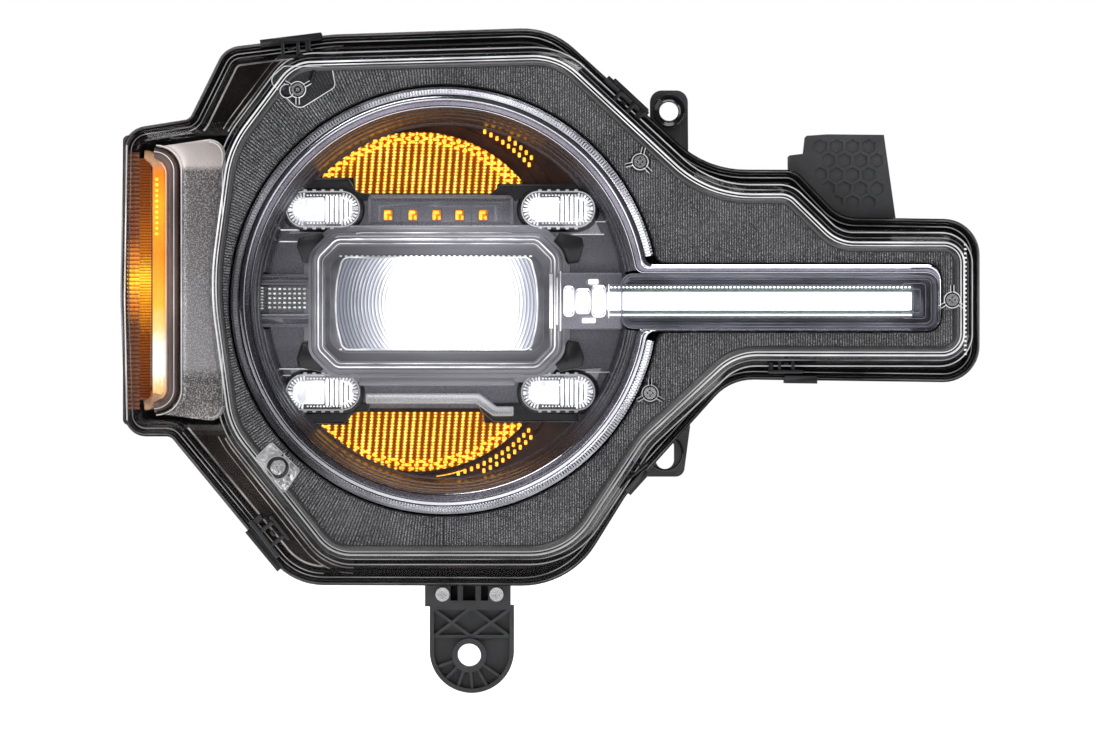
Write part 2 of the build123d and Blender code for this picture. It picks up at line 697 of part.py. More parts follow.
def marker_reflector():
    body = block(-166.5, -146.0, MARKER_BOTTOM - 2.0, MARKER_TOP + 1.0, -34.9, -27.0, 2.0)
    return body - block(-165.0, -147.5, MARKER_BOTTOM - 0.5, MARKER_TOP - 0.5, -35.0, -28.5, 1.0)


def marker_led_board():
    return block(-164.0, -147.0, MARKER_BOTTOM + 3.0, MARKER_TOP - 4.0, -26.9, -25.3)


# Brackets -----------------------------------------------------------------------------------

def lower_bracket():
    """Ribbed plastic foot with the main bolt boss."""
    bolt_x, bolt_z = -LAMP_X, -LAMP_Z
    plate_left, plate_right, plate_top = -9.2, 37.9, -169.6
    middle = (plate_left + plate_right) / 2
    half = (plate_right - plate_left) / 2
    foot_z = -218.5 + half

    def plate(inset):
        return Pos(middle, foot_z) * Circle(half - inset) + panel(
            plate_left + inset, plate_right - inset, foot_z, plate_top - inset
        )

    body = slab(plate(0), 6.0, 9.0) + slab(plate(0) - plate(2.4), 0.8, 12.0)
    ribs = Sketch()
    for start, end in [
        ((-7.0, -187.0), (14.0, -171.0)), ((14.0, -171.0), (35.5, -187.0)),
        ((-7.0, -172.0), (14.0, -187.0)), ((14.0, -187.0), (35.5, -172.0)),
        ((-7.5, -187.0), (36.0, -187.0)),
    ]:
        ribs += rib(start, end, 1.8)
    for angle in (200, 225, 250, 275, 300, 325):
        away = (bolt_x + 28 * math.cos(math.radians(angle)), bolt_z + 28 * math.sin(math.radians(angle)))
        ribs += rib((bolt_x, bolt_z), away, 1.6)
    body += slab(ribs & plate(1.0), 2.0, 7.0)
    body += disc(bolt_x, bolt_z, 9.5, 0.0, 14.0)
    body -= disc(bolt_x, bolt_z, BOLT_BORE, -1.0, 15.0)

    head = block(-11.6, 36.0, -169.8, -154.7, -10.0, 12.0)
    head -= block(2.6, 6.6, -166.5, -154.0, -11.0, 6.0)
    head -= block(9.6, 16.6, -166.5, -154.0, -11.0, 6.0)
    head -= block(19.6, 23.6, -166.5, -154.0, -11.0, 6.0)
    for x, z in BRACKET_SCREWS:
        head -= disc(x, z, HALF_BRACKET_SCREW + FIT, -11.0, 13.0)
    return body + head


def rib(start, end, width):
    """Straight rib between two points."""
    (x0, z0), (x1, z1) = start, end
    turn = math.degrees(math.atan2(z1 - z0, x1 - x0))
    length = math.hypot(x1 - x0, z1 - z0)
    return Pos((x0 + x1) / 2, (z0 + z1) / 2) * Rot(0, 0, turn) * Rectangle(length, width)


def side_bracket():
    """Upright behind the arm with a bored ear above it and a slotted ear below."""
    front, back = SHELL_BACK, SHELL_BACK + 4.0
    shape = outline([
        (114.0, 118.5, 6.6), (135.2, 118.5, 6.6), (136.5, -70.0, 4.0), (132.8, -98.0, 5.0),
        (106.5, -98.0, 4.0), (108.5, -70.0, 8.0), (121.5, -50.0, 8.0), (121.5, 66.0, 8.0), (114.0, 84.0, 8.0),
    ])
    body = slab(shape, front, back)
    body += disc(EAR_X, EAR_Z, 9.8, front - 3.0, back)
    body += slab(ear_slot(2.6), front, back + 1.0)
    body -= disc(EAR_X, EAR_Z, EAR_BORE, front - 4.0, back + 1.0)
    body -= slab(ear_slot(), front - 1.0, back + 2.0)
    for x, z in SIDE_SCREWS:
        body -= disc(x, z, HALF_BRACKET_SCREW + FIT, front - 1.0, back + 1.0)
    return body


def bracket_screws():
    """Two screws through the lower bracket and three through the side bracket."""
    screws = [screw(x, z, -12.8, 3.9, 2.8, HALF_BRACKET_SCREW, 26.0) for x, z in BRACKET_SCREWS]
    screws += [rear_screw(x, z, SHELL_BACK + 8.0, 4.6, 4.0, HALF_BRACKET_SCREW, 6.5) for x, z in SIDE_SCREWS]
    return screws


def upper_mount_block():
    """Hollow bracket on top of the arm, with a honeycomb face."""
    shape = polygon([
        (191.0, 70.0), (191.0, 81.0), (199.4, 82.0), (200.5, 91.9), (212.0, 92.7), (243.4, 92.4), (250.5, 42.0),
        (215.0, 40.0),
    ])
    shape -= outline(SILHOUETTE, -2.9)
    body = slab(shape, -18.0, 12.0)
    cells = Sketch()
    for row in range(5):
        for column in range(4):
            x = 208.0 + 9.0 * column + (4.5 if row % 2 else 0.0)
            z = 86.0 - 7.8 * row
            cells += Pos(x, z) * RegularPolygon(4.1, 6, rotation=30)
    inside = polygon([(202.0, 79.0), (202.5, 90.0), (241.5, 90.0), (246.0, 52.0), (222.0, 52.0), (208.0, 66.0)])
    return body - slab(cells & inside, -19.0, -17.0)


# Rear hardware --------------------------------------------------------------------------------
def cover_screw_places():
    return list(circle_points(4, 50.0, 45.0))


def rear_cover():
    body = disc(0, 0, 54.0, BOWL_BACK + 1.2, BOWL_BACK + 4.2)
    body += tapered(Circle(45.0), BOWL_BACK + 4.0, Circle(41.0), BOWL_BACK + 11.0)
    body -= tapered(Circle(42.6), BOWL_BACK + 1.2, Circle(38.6), BOWL_BACK + 8.6)
    for angle in range(0, 180, 30):
        body += slab(Rot(0, 0, angle) * Rectangle(70.0, 1.8), BOWL_BACK + 10.5, BOWL_BACK + 12.5)
    for x, z in cover_screw_places():
        body -= disc(x, z, HALF_LID_SCREW + FIT, BOWL_BACK, BOWL_BACK + 5)
    return body


def gaskets():
    """Flat gaskets under the rear cover and under the driver."""
    cover_ring = Circle(53.6) - Circle(46.0)
    for x, z in cover_screw_places():
        cover_ring -= Pos(x, z) * Circle(1.8)
    driver_ring = panel(149.0, 227.0, -29.0, 29.0, 3.5) - panel(157.5, 218.5, -21.0, 21.0, 3.0)
    for x, z in DRIVER_SCREWS:
        driver_ring -= Pos(x, z) * Circle(1.8)
    return [
        slab(cover_ring, BOWL_BACK, BOWL_BACK + 1.2),
        slab(driver_ring, SHELL_BACK, SHELL_BACK + 1.0),
    ]


def cover_screws():
    """Four screws in the rear cover and four in the driver's lid, all alike."""
    screws = [rear_screw(x, z, BOWL_BACK + 7.0, 3.2, 2.8, HALF_LID_SCREW, 7.0) for x, z in cover_screw_places()]
    screws += [rear_screw(x, z, SHELL_BACK + 6.3, 3.2, 2.8, HALF_LID_SCREW, 6.4) for x, z in DRIVER_SCREWS]
    return screws


def led_driver():
    """Finned die-cast box with the lamp's electronics."""
    body = block(148.0, 228.0, -30.0, 30.0, SHELL_BACK + 1.0, SHELL_BACK + 3.5, 4.0)
    body += block(159.0, 217.0, -29.0, 29.0, SHELL_BACK + 3.5, SHELL_BACK + 15.0, 3.0)
    for i in range(9):
        z = -26.0 + 6.5 * i
        body += block(161.0, 215.0, z - 1.0, z + 1.0, SHELL_BACK + 15.0, SHELL_BACK + 20.0)
    for x, z in DRIVER_SCREWS:
        body -= disc(x, z, HALF_LID_SCREW + FIT, SHELL_BACK, SHELL_BACK + 5)
    return body


def inlet_connector():
    """Sealed vehicle connector in the rear wall: a keyed shroud round eight blades."""
    x, z = CONNECTOR
    body = block(x - 16.0, x + 16.0, z - 8.5, z + 8.5, BOWL_BACK, BOWL_BACK + 2.0, 3.0)
    body += block(x - 12.4, x + 12.4, z - 4.65, z + 4.65, BOWL_BACK - 6.0, BOWL_BACK)
    body += block(x - 14.5, x + 14.5, z - 7.5, z + 7.5, BOWL_BACK + 2.0, BOWL_BACK + 21.0, 3.0)
    body -= block(x - 13.0, x + 13.0, z - 6.0, z + 6.0, BOWL_BACK + 4.0, BOWL_BACK + 22.0, 2.0)
    for row in (-1, 1):
        for column in range(4):
            pin_x = x - 9.0 + 6.0 * column
            pin_z = z + 2.6 * row
            body += block(
                pin_x - 0.75, pin_x + 0.75, pin_z - 0.4, pin_z + 0.4, BOWL_BACK + 3.5, BOWL_BACK + 13.0
            )
    return body + block(x - 3.0, x + 3.0, z + 7.4, z + 9.0, BOWL_BACK + 6.0, BOWL_BACK + 18.0)


def breather_vents():
    vents = []
    for x, z in VENTS:
        cap = disc(x, z, 8.0, BOWL_BACK, BOWL_BACK + 6.0) + disc(x, z, 3.5, BOWL_BACK - 5.0, BOWL_BACK)
        for dx, dz in circle_points(8, 8.2):
            cap -= disc(x + dx, z + dz, 1.0, BOWL_BACK + 2.0, BOWL_BACK + 7.0)
        vents.append(cap)
    return vents


# The assembly -----------------------------------------------------------------------------------
def build():
    upper, lower = turn_window()
    upper_out, lower_out = turn_window(2.0)
    accents = list(accent_places())
    nodes = {
        "housing": housing(),
        "lens_seal": lens_seal(),
        "front_lens": front_lens(),
        "lens_clips": lens_clips(),
        "bezel": bezel(),
        "bezel_screws": bezel_screws(),
        "ribbed_ring": ribbed_ring(),
        "chrome_trim": chrome_trim(),
        "inner_bowl": inner_bowl(),
        "projector_surround": projector_surround(),
        "turn_lens_upper": turn_lens(upper),
        "turn_lens_lower": turn_lens(lower),
        "turn_reflector_upper": turn_reflector(upper_out, upper),
        "turn_reflector_lower": turn_reflector(lower_out, lower),
        "turn_led_boards": turn_led_boards(),
        "accent_lens_upper_left": accent_lens(*accents[0]),
        "accent_lens_upper_right": accent_lens(*accents[1]),
        "accent_lens_lower_left": accent_lens(*accents[2]),
        "accent_lens_lower_right": accent_lens(*accents[3]),
        "accent_led_boards": [block(x - 18.0, x + 18.0, z - 6.5, z + 6.5, -16.9, -15.3) for x, z in accents],
        "upper_trim_bar": upper_trim_bar(),
        "amber_windows": amber_windows(),
        "lower_trim_bar": lower_trim_bar(),
        "side_optic": side_optic(),
        "side_optic_frame": side_optic_frame(),
        "projector_lens": projector_lens(),
        "lens_holder": lens_holder(),
        "projector_housing": projector_housing(),
        "projector_reflector": projector_reflector(),
        "projector_led_board": projector_led_board(),
        "heat_sink": heat_sink(),
        "carrier_frame": carrier_frame(),
        "ball_sockets": ball_sockets(),
        "solenoid": solenoid(),
        "solenoid_plunger": solenoid_plunger(),
        "beam_shutter": beam_shutter(),
        "pivot_studs": pivot_studs(),
        "adjuster_stud": adjuster_stud(),
        "adjuster_housing": adjuster_housing(),
        "adjuster_wheel": adjuster_wheel(),
        "drl_light_guide": drl_light_guide(),
        "drl_collar": drl_collar(),
        "drl_tray": drl_tray(),
        "drl_led_board": drl_led_board(),
        "marker_bezel": marker_bezel(),
        "marker_frame": marker_frame(),
        "marker_light_pipe": marker_light_pipe(),
        "marker_inner_lens": marker_inner_lens(),
        "marker_reflector": marker_reflector(),
        "marker_led_board": marker_led_board(),
        "lower_bracket": lower_bracket(),
        "side_bracket": side_bracket(),
        "bracket_screws": bracket_screws(),
        "upper_mount_block": upper_mount_block(),
        "rear_cover": rear_cover(),
        "gaskets": gaskets(),
        "cover_screws": cover_screws(),
        "led_driver": led_driver(),
        "inlet_connector": inlet_connector(),
        "breather_vents": breather_vents(),
    }
    os.makedirs("parts", exist_ok=True)
    for name, shape in nodes.items():
        solids = shape if isinstance(shape, list) else [shape]
        loose = [solid for item in solids for solid in item.solids()]
        export_step(Compound(loose) if len(loose) > 1 else loose[0], f"parts/{name}.step")


build()
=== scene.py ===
import json
import math

import bmesh
import bpy
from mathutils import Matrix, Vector

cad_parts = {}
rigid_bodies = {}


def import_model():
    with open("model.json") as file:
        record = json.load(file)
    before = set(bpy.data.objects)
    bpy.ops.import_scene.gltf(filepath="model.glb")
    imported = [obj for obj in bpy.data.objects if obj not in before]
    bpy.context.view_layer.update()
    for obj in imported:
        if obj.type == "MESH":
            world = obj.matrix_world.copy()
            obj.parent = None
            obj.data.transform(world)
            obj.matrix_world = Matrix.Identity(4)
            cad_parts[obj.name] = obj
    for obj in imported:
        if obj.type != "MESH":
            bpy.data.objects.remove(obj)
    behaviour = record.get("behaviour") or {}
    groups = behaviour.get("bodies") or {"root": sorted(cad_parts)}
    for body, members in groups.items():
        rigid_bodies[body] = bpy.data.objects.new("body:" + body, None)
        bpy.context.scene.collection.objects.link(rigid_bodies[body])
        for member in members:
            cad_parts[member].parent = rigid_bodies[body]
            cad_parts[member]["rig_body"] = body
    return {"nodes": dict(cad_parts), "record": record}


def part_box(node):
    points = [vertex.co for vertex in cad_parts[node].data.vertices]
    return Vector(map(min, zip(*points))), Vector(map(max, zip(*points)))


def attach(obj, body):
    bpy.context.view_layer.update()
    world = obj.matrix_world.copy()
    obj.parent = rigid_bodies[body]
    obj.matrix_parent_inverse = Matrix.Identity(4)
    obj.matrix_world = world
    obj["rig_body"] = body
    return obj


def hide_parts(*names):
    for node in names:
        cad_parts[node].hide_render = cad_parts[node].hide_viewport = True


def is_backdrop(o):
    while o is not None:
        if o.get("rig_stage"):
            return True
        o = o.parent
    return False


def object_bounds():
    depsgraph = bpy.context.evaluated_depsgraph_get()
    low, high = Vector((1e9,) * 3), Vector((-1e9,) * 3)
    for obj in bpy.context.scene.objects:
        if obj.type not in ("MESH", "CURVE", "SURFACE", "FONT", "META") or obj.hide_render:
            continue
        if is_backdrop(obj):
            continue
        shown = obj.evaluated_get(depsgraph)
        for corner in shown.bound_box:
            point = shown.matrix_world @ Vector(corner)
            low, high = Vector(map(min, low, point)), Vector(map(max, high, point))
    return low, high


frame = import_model()
CAD_LOW, CAD_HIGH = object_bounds()

# Places: millimetres from the round lamp's centre, x inboard, z up, y from the row frame
MM = 0.001
cover_low, cover_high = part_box("rear_cover")
LAMP_X = (cover_low.x + cover_high.x) / 2
LAMP_Z = (cover_low.z + cover_high.z) / 2


def at(x, y, z):
    return Vector((LAMP_X + x * MM, y * MM, LAMP_Z + z * MM))


# Depths that several pieces share
DECK_Y = -20.0        # face of the bowl's deck
FOOT_Y = -20.2        # where what stands on the deck ends
WALL_Y = -34.4        # side wall between the bezel and the flange
BEZEL_Y = -53.2       # flat of the bezel
RING_FOOT_Y = -51.0   # foot of the rings round the bowl
SEAT_Y = -53.4        # seat of the bosses on the bezel

# Outlines shared with the CAD: corner x, corner z, corner radius, clockwise
SILHOUETTE = [
    (-141.0, 100.4, 5.0), (-121.5, 139.8, 14.0), (-62.0, 147.2, 120.0), (58.6, 151.0, 42.0),
    (144.8, 72.6, 55.0), (193.5, 72.4, 12.0), (218.5, 46.2, 20.0), (295.2, 45.0, 20.0),
    (295.2, -45.2, 20.0), (157.7, -43.4, 28.0), (100.0, -107.5, 30.0), (69.0, -157.5, 48.0),
    (-84.0, -157.0, 36.0), (-151.5, -74.9, 5.0), (-176.5, -74.9, 12.0), (-179.3, 2.5, 400.0),
    (-177.5, 94.6, 14.0),
]
FACE = [
    (-129.2, 8.0, 160.0), (-119.0, 84.0, 60.0), (-83.5, 131.3, 22.0), (62.9, 135.2, 36.0),
    (145.0, 59.0, 60.0), (189.5, 59.0, 12.0), (216.5, 32.7, 22.0), (286.0, 32.5, 12.0),
    (286.0, -31.1, 13.0), (160.0, -30.9, 30.0), (110.5, -77.0, 40.0), (68.5, -140.5, 40.0),
    (-62.3, -140.5, 24.0), (-118.5, -69.5, 45.0),
]
# Bosses on the bezel: x, z and the first arm's direction in degrees
BOSSES = [
    (-80.6, 115.8, 150), (107.5, 76.2, 75), (-90.5, -91.0, -45), (113.0, -50.9, -150), (279.0, 0.3, 90),
]
# Mouth of the bowl and the light bar's channel, from inside to outside:
# ring radius, channel top, channel bottom, channel end, joining radius
MOUTH = [
    (106.2, 15.1, -15.7, 271.4, 5.0),
    (113.0, 20.0, -17.1, 272.8, 5.0),
    (118.0, 20.3, -17.4, 273.1, 5.0),
    (126.0, 24.5, -21.0, 275.2, 9.0),
]
MOUTH_CORNER = 6.6    # corner radius at the channel's end, on the innermost outline
QUARTER = math.pi / 2


# Flat drawing ------------
def grown(corners, by):
    """Rounded outline moved outwards."""
    moved = []
    for i, (x, z, radius) in enumerate(corners):
        before, after = corners[i - 1], corners[(i + 1) % len(corners)]
        inward = Vector((x - before[0], z - before[1])).normalized()
        onward = Vector((after[0] - x, after[1] - z)).normalized()
        normal_in, normal_on = Vector((-inward.y, inward.x)), Vector((-onward.y, onward.x))
        shift = (normal_in + normal_on) * (by / (1 + normal_in.dot(normal_on)))
        convex = inward.x * onward.y - inward.y * onward.x < 0
        moved.append((x + shift.x, z + shift.y, max(radius + by if convex else radius - by, 0.3)))
    return moved


def rounded(corners, grow=0.0, steps=12):
    """Points round a rounded outline, always the same number for the same corners."""
    if grow:
        corners = grown(corners, grow)
    points = []
    for i, (x, z, radius) in enumerate(corners):
        here = Vector((x, z))
        before = (Vector(corners[i - 1][:2]) - here).normalized()
        after = (Vector(corners[(i + 1) % len(corners)][:2]) - here).normalized()
        half = before.angle(after) / 2
        reach = radius / math.tan(half)
        start, end = here + before * reach, here + after * reach
        centre = here + (before + after).normalized() * (radius / math.sin(half))
        a, b = start - centre, end - centre
        turn = a.angle_signed(b)
        for k in range(steps + 1):
            angle = -turn * k / steps
            c, s = math.cos(angle), math.sin(angle)
            points.append((centre.x + a.x * c - a.y * s, centre.y + a.x * s + a.y * c))
    return points


def rectangle(left, right, bottom, top, radius=1.0):
    return [(left, top, radius), (right, top, radius), (right, bottom, radius), (left, bottom, radius)]


def turned(x, z, degrees, left, right, bottom, top, radius=0.8):
    """Corners of a rectangle that is turned about a point."""
    c, s = math.cos(math.radians(degrees)), math.sin(math.radians(degrees))
    return [
        (x + u * c - v * s, z + u * s + v * c, radius)
        for u, v in ((left, top), (right, top), (right, bottom), (left, bottom))
    ]


def arc(x, z, radius, start, stop, count, numbers=None):
    """Points on an arc that is cut in count steps; numbers picks some of them."""
    turns = [start + (stop - start) * k / count for k in numbers or range(count + 1)]
    return [(x + radius * math.cos(a), z + radius * math.sin(a)) for a in turns]


def circle(x, z, radius, count=96):
    return arc(x, z, radius, 0, -math.tau, count, range(count))


def round_section(middle, depth, radius):
    """Profile of a fine round line."""
    return arc(middle, depth, radius, 0, math.tau, 8, range(8))


def eased(front, foot=FOOT_Y, cut=1.0, shoulder=0.3, dip=0.4, drop=1.2):
    """Profile of a block with an eased front edge."""
    return [(-cut, front), (-shoulder, front + dip), (0, front + drop), (0, foot)]


def mouth(t):
    """Outline of the bowl's mouth with the channel, t from 0 at the bowl to 3 on the bezel."""
    low = min(int(t), len(MOUTH) - 2)
    radius, top, bottom, end, join = (
        a + (b - a) * (t - low) for a, b in zip(MOUTH[low], MOUTH[low + 1])
    )
    corner = MOUTH_CORNER + (end - MOUTH[0][3])
    end -= corner
    top_x = math.sqrt((radius + join) ** 2 - (top + join) ** 2)
    low_x = math.sqrt((radius + join) ** 2 - (bottom - join) ** 2)
    first = math.atan2(top + join, top_x)
    last = math.atan2(bottom - join, low_x) + math.tau
    points = arc(0, 0, radius, last, first, 150)
    points += arc(top_x, top + join, join, first + math.pi, 3 * QUARTER, 8, range(1, 9))
    points += [(top_x + (end - top_x) * k / 30, top) for k in range(1, 30)]
    points += arc(end, top - corner, corner, QUARTER, 0, 8)
    points += arc(end, bottom + corner, corner, 0, -QUARTER, 8)
    points += [(end + (low_x - end) * k / 30, bottom) for k in range(1, 30)]
    return points + arc(low_x, bottom - join, join, QUARTER, last - math.pi, 8, range(8))


def inside(loop, x, z):
    """Whether a point lies within a loop."""
    hit = False
    for (x0, z0), (x1, z1) in zip(loop, loop[1:] + loop[:1]):
        if (z0 > z) != (z1 > z) and x < x0 + (x1 - x0) * (z - z0) / (z1 - z0):
            hit = not hit
    return hit


def crossings(loops, origin, direction):
    """Stretches of a line inside loops, as pairs of points."""
    ox, oz = origin
    dx, dz = direction
    found = []
    for loop in loops:
        for (x0, z0), (x1, z1) in zip(loop, loop[1:] + loop[:1]):
            side0 = (x0 - ox) * dz - (z0 - oz) * dx
            side1 = (x1 - ox) * dz - (z1 - oz) * dx
            if (side0 > 0) != (side1 > 0):
                share = side0 / (side0 - side1)
                px, pz = x0 + (x1 - x0) * share, z0 + (z1 - z0) * share
                found.append((px - ox) * dx + (pz - oz) * dz)
    found.sort()
    for low, high in zip(found[::2], found[1::2]):
        yield (ox + dx * low, oz + dz * low), (ox + dx * high, oz + dz * high)


# Solid drawing ------------
class Shape:
    """Vertices and faces of one piece, in the lamp's millimetres."""

    def __init__(self):
        self.points, self.faces, self.marks, self.uv = [], [], [], {}
        self.mark = 0

    def add(self, points):
        """Vertex numbers of new points."""
        first = len(self.points)
        self.points.extend(points)
        return list(range(first, len(self.points)))

    def face(self, corners):
        self.faces.append(corners)
        self.marks.append(self.mark)

    def loft(self, loops, closed=False, open_ends=False):
        """Skin over loops of points; closed joins the last loop to the first."""
        rows = [self.add(loop) for loop in loops]
        if closed:
            rows.append(rows[0])
        for a, b in zip(rows, rows[1:]):
            for k in range(len(a) - (1 if open_ends else 0)):
                n = (k + 1) % len(a)
                self.face((a[k], a[n], b[n], b[k]))
        return rows

    def outline(self, corners, profile, closed=False, front=False, back=False, steps=12):
        """Skin along a rounded outline; profile holds pairs of growth and depth."""
        rows = self.loft([[(x, y, z) for x, z in rounded(corners, g, steps)] for g, y in profile], closed)
        if front:
            self.face(tuple(rows[0]))
        if back:
            self.face(tuple(reversed(rows[-1])))

    def beads(self, corners, *lines):
        """Fine round lines along an outline, each with its growth, depth and radius."""
        for grow, depth, radius in lines:
            self.outline(corners, round_section(grow, depth, radius), closed=True)

    def follow(self, profile):
        """Skin along the mouth; profile holds pairs of place across it and depth."""
        self.loft([[(x, y, z) for x, z in mouth(t)] for t, y in profile])

    def lathe(self, x, z, profile, count=96, closed=False):
        self.loft([[(px, y, pz) for px, pz in circle(x, z, r, count)] for r, y in profile], closed)

    def runs(self, draw, *runs):
        """Profile in runs of a mark and points; each run goes on from the end of the one before."""
        end = []
        for mark, run in runs:
            self.mark = mark
            draw(end + run)
            end = run[-1:]

    def bar(self, left, right, bottom, top, front, back, edge=0.6, corner=1.0):
        """Block with rounded edges."""
        profile = [(-edge, front), (-edge * 0.3, front + edge * 0.3), (0, front + edge), (0, back)]
        corners = rectangle(left, right, bottom, top, max(corner, edge + 0.2))
        self.outline(corners, profile, front=True, back=True, steps=5)

    def tiles(self, left, bottom, width, height, depths, columns=(1, 0), rows=(1, 0), edge=0.2, corner=0.3):
        """Grid of small bars; columns and rows each hold a count and a pitch."""
        for i in range(columns[0]):
            for j in range(rows[0]):
                x, z = left + columns[1] * i, bottom + rows[1] * j
                self.bar(x, x + width, z, z + height, *depths, edge, corner)

    def rib(self, start, end, depth, height, width):
        """Three-sided ridge between two points on the face at a depth."""
        (x0, z0), (x1, z1) = start, end
        away = Vector((x1 - x0, z1 - z0))
        if away.length < 0.3:
            return
        away.normalize()
        sx, sz = -away.y * width / 2, away.x * width / 2
        a = self.add([
            (x0 + sx, depth, z0 + sz), (x0 - sx, depth, z0 - sz), (x0, depth - height, z0),
            (x1 + sx, depth, z1 + sz), (x1 - sx, depth, z1 - sz), (x1, depth - height, z1),
        ])
        for corners in ((0, 1, 2), (5, 4, 3), (0, 2, 5, 3), (2, 1, 4, 5), (1, 0, 3, 4)):
            self.face(tuple(a[c] for c in corners))

    def trim(self, kept, first=0):
        """Drop the faces whose middle fails the test, from a face number on."""
        both = []
        for number, (face, mark) in enumerate(zip(self.faces, self.marks)):
            middle = [sum(self.points[v][axis] for v in face) / len(face) for axis in range(3)]
            if number < first or kept(*middle):
                both.append((face, mark))
        self.faces = [face for face, _ in both]
        self.marks = [mark for _, mark in both]

    def plate(self, outer, holes, front, back):
        """Flat sheet with holes."""
        curve = bpy.data.curves.new("flat", "CURVE")
        curve.dimensions, curve.fill_mode = "2D", "BOTH"
        curve.extrude = abs(back - front) / 2
        for loop in [outer] + holes:
            spline = curve.splines.new("POLY")
            spline.points.add(len(loop) - 1)
            for point, (x, z) in zip(spline.points, loop):
                point.co = (x, z, 0, 1)
            spline.use_cyclic_u = True
        drawn = bpy.data.objects.new("flat", curve)
        mesh = bpy.data.meshes.new_from_object(drawn)
        middle = (front + back) / 2
        index = self.add([(v.co.x, middle - v.co.z, v.co.y) for v in mesh.vertices])
        for polygon in mesh.polygons:
            self.face(tuple(index[v] for v in polygon.vertices))
        bpy.data.objects.remove(drawn)
        bpy.data.curves.remove(curve)
        bpy.data.meshes.remove(mesh)

    def tube(self, path, radius, sides=8):
        """Round rod along points in space."""
        loops = []
        places = [Vector(p) for p in path]
        for i, place in enumerate(places):
            along = (places[min(i + 1, len(places) - 1)] - places[max(i - 1, 0)]).normalized()
            side = along.cross(Vector((0, 1, 0)))
            if side.length < 0.1:
                side = along.cross(Vector((1, 0, 0)))
            side.normalize()
            up = side.cross(along)
            loops.append([
                tuple(place + side * radius * math.cos(a) + up * radius * math.sin(a))
                for a in (math.tau * k / sides for k in range(sides))
            ])
        rows = self.loft(loops)
        self.face(tuple(reversed(rows[0])))
        self.face(tuple(rows[-1]))

    def piece(self, name, finish, slot, stands_for=(), body="lamp", smooth=35, more=()):
        mesh = bpy.data.meshes.new(name)
        mesh.from_pydata([at(*p) for p in self.points], [], self.faces)
        for item in (finish, *more):
            mesh.materials.append(item)
        mesh.polygons.foreach_set("material_index", self.marks)
        if self.uv:
            layer = mesh.uv_layers.new(name="flutes")
            for loop in mesh.loops:
                layer.data[loop.index].uv = self.uv.get(loop.vertex_index, (0.0, 0.0))
        shape = bmesh.new()
        shape.from_mesh(mesh)
        bmesh.ops.remove_doubles(shape, verts=shape.verts, dist=0.000002)
        loose = [vert for vert in shape.verts if not vert.link_faces]
        bmesh.ops.delete(shape, geom=loose, context="VERTS")
        bmesh.ops.recalc_face_normals(shape, faces=shape.faces)
        shape.to_mesh(mesh)
        shape.free()
        finish_mesh(name, mesh, body, slot, stands_for, smooth)


def finish_mesh(name, mesh, body, slot, stands_for, smooth):
    """Object for a mesh, which rides a body and may stand for CAD nodes."""
    mesh.polygons.foreach_set("use_smooth", [True] * len(mesh.polygons))
    mesh.set_sharp_from_angle(angle=math.radians(smooth))
    mesh.update()
    item = bpy.data.objects.new(name, mesh)
    bpy.context.scene.collection.objects.link(item)
    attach(item, body)
    if stands_for:
        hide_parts(*stands_for)
    return item


EASED_ANGLE = 30      # edges sharper than this are eased


def softened(node, name, finish, width, slot, more=(), choose=None):
    """The CAD node's shape with eased edges, which stands for it."""
    source = frame["nodes"][node]
    mesh = source.data.copy()
    mesh.name = name
    shape = bmesh.new()
    shape.from_mesh(mesh)
    bmesh.ops.remove_doubles(shape, verts=shape.verts, dist=0.00001)
    bmesh.ops.dissolve_limit(shape, angle_limit=math.radians(1.5), verts=shape.verts, edges=shape.edges)
    shape.to_mesh(mesh)
    shape.free()
    mesh.materials.clear()
    for item in (finish, *more):
        mesh.materials.append(item)
    for polygon in mesh.polygons:
        polygon.material_index = choose(polygon) if choose else 0
    item = finish_mesh(name, mesh, source["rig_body"], slot, (node,), EASED_ANGLE)
    bevel = item.modifiers.new("eased edges", "BEVEL")
    bevel.width, bevel.segments = width * MM, 2
    bevel.limit_method, bevel.angle_limit = "ANGLE", math.radians(EASED_ANGLE)
    bevel.harden_normals = True



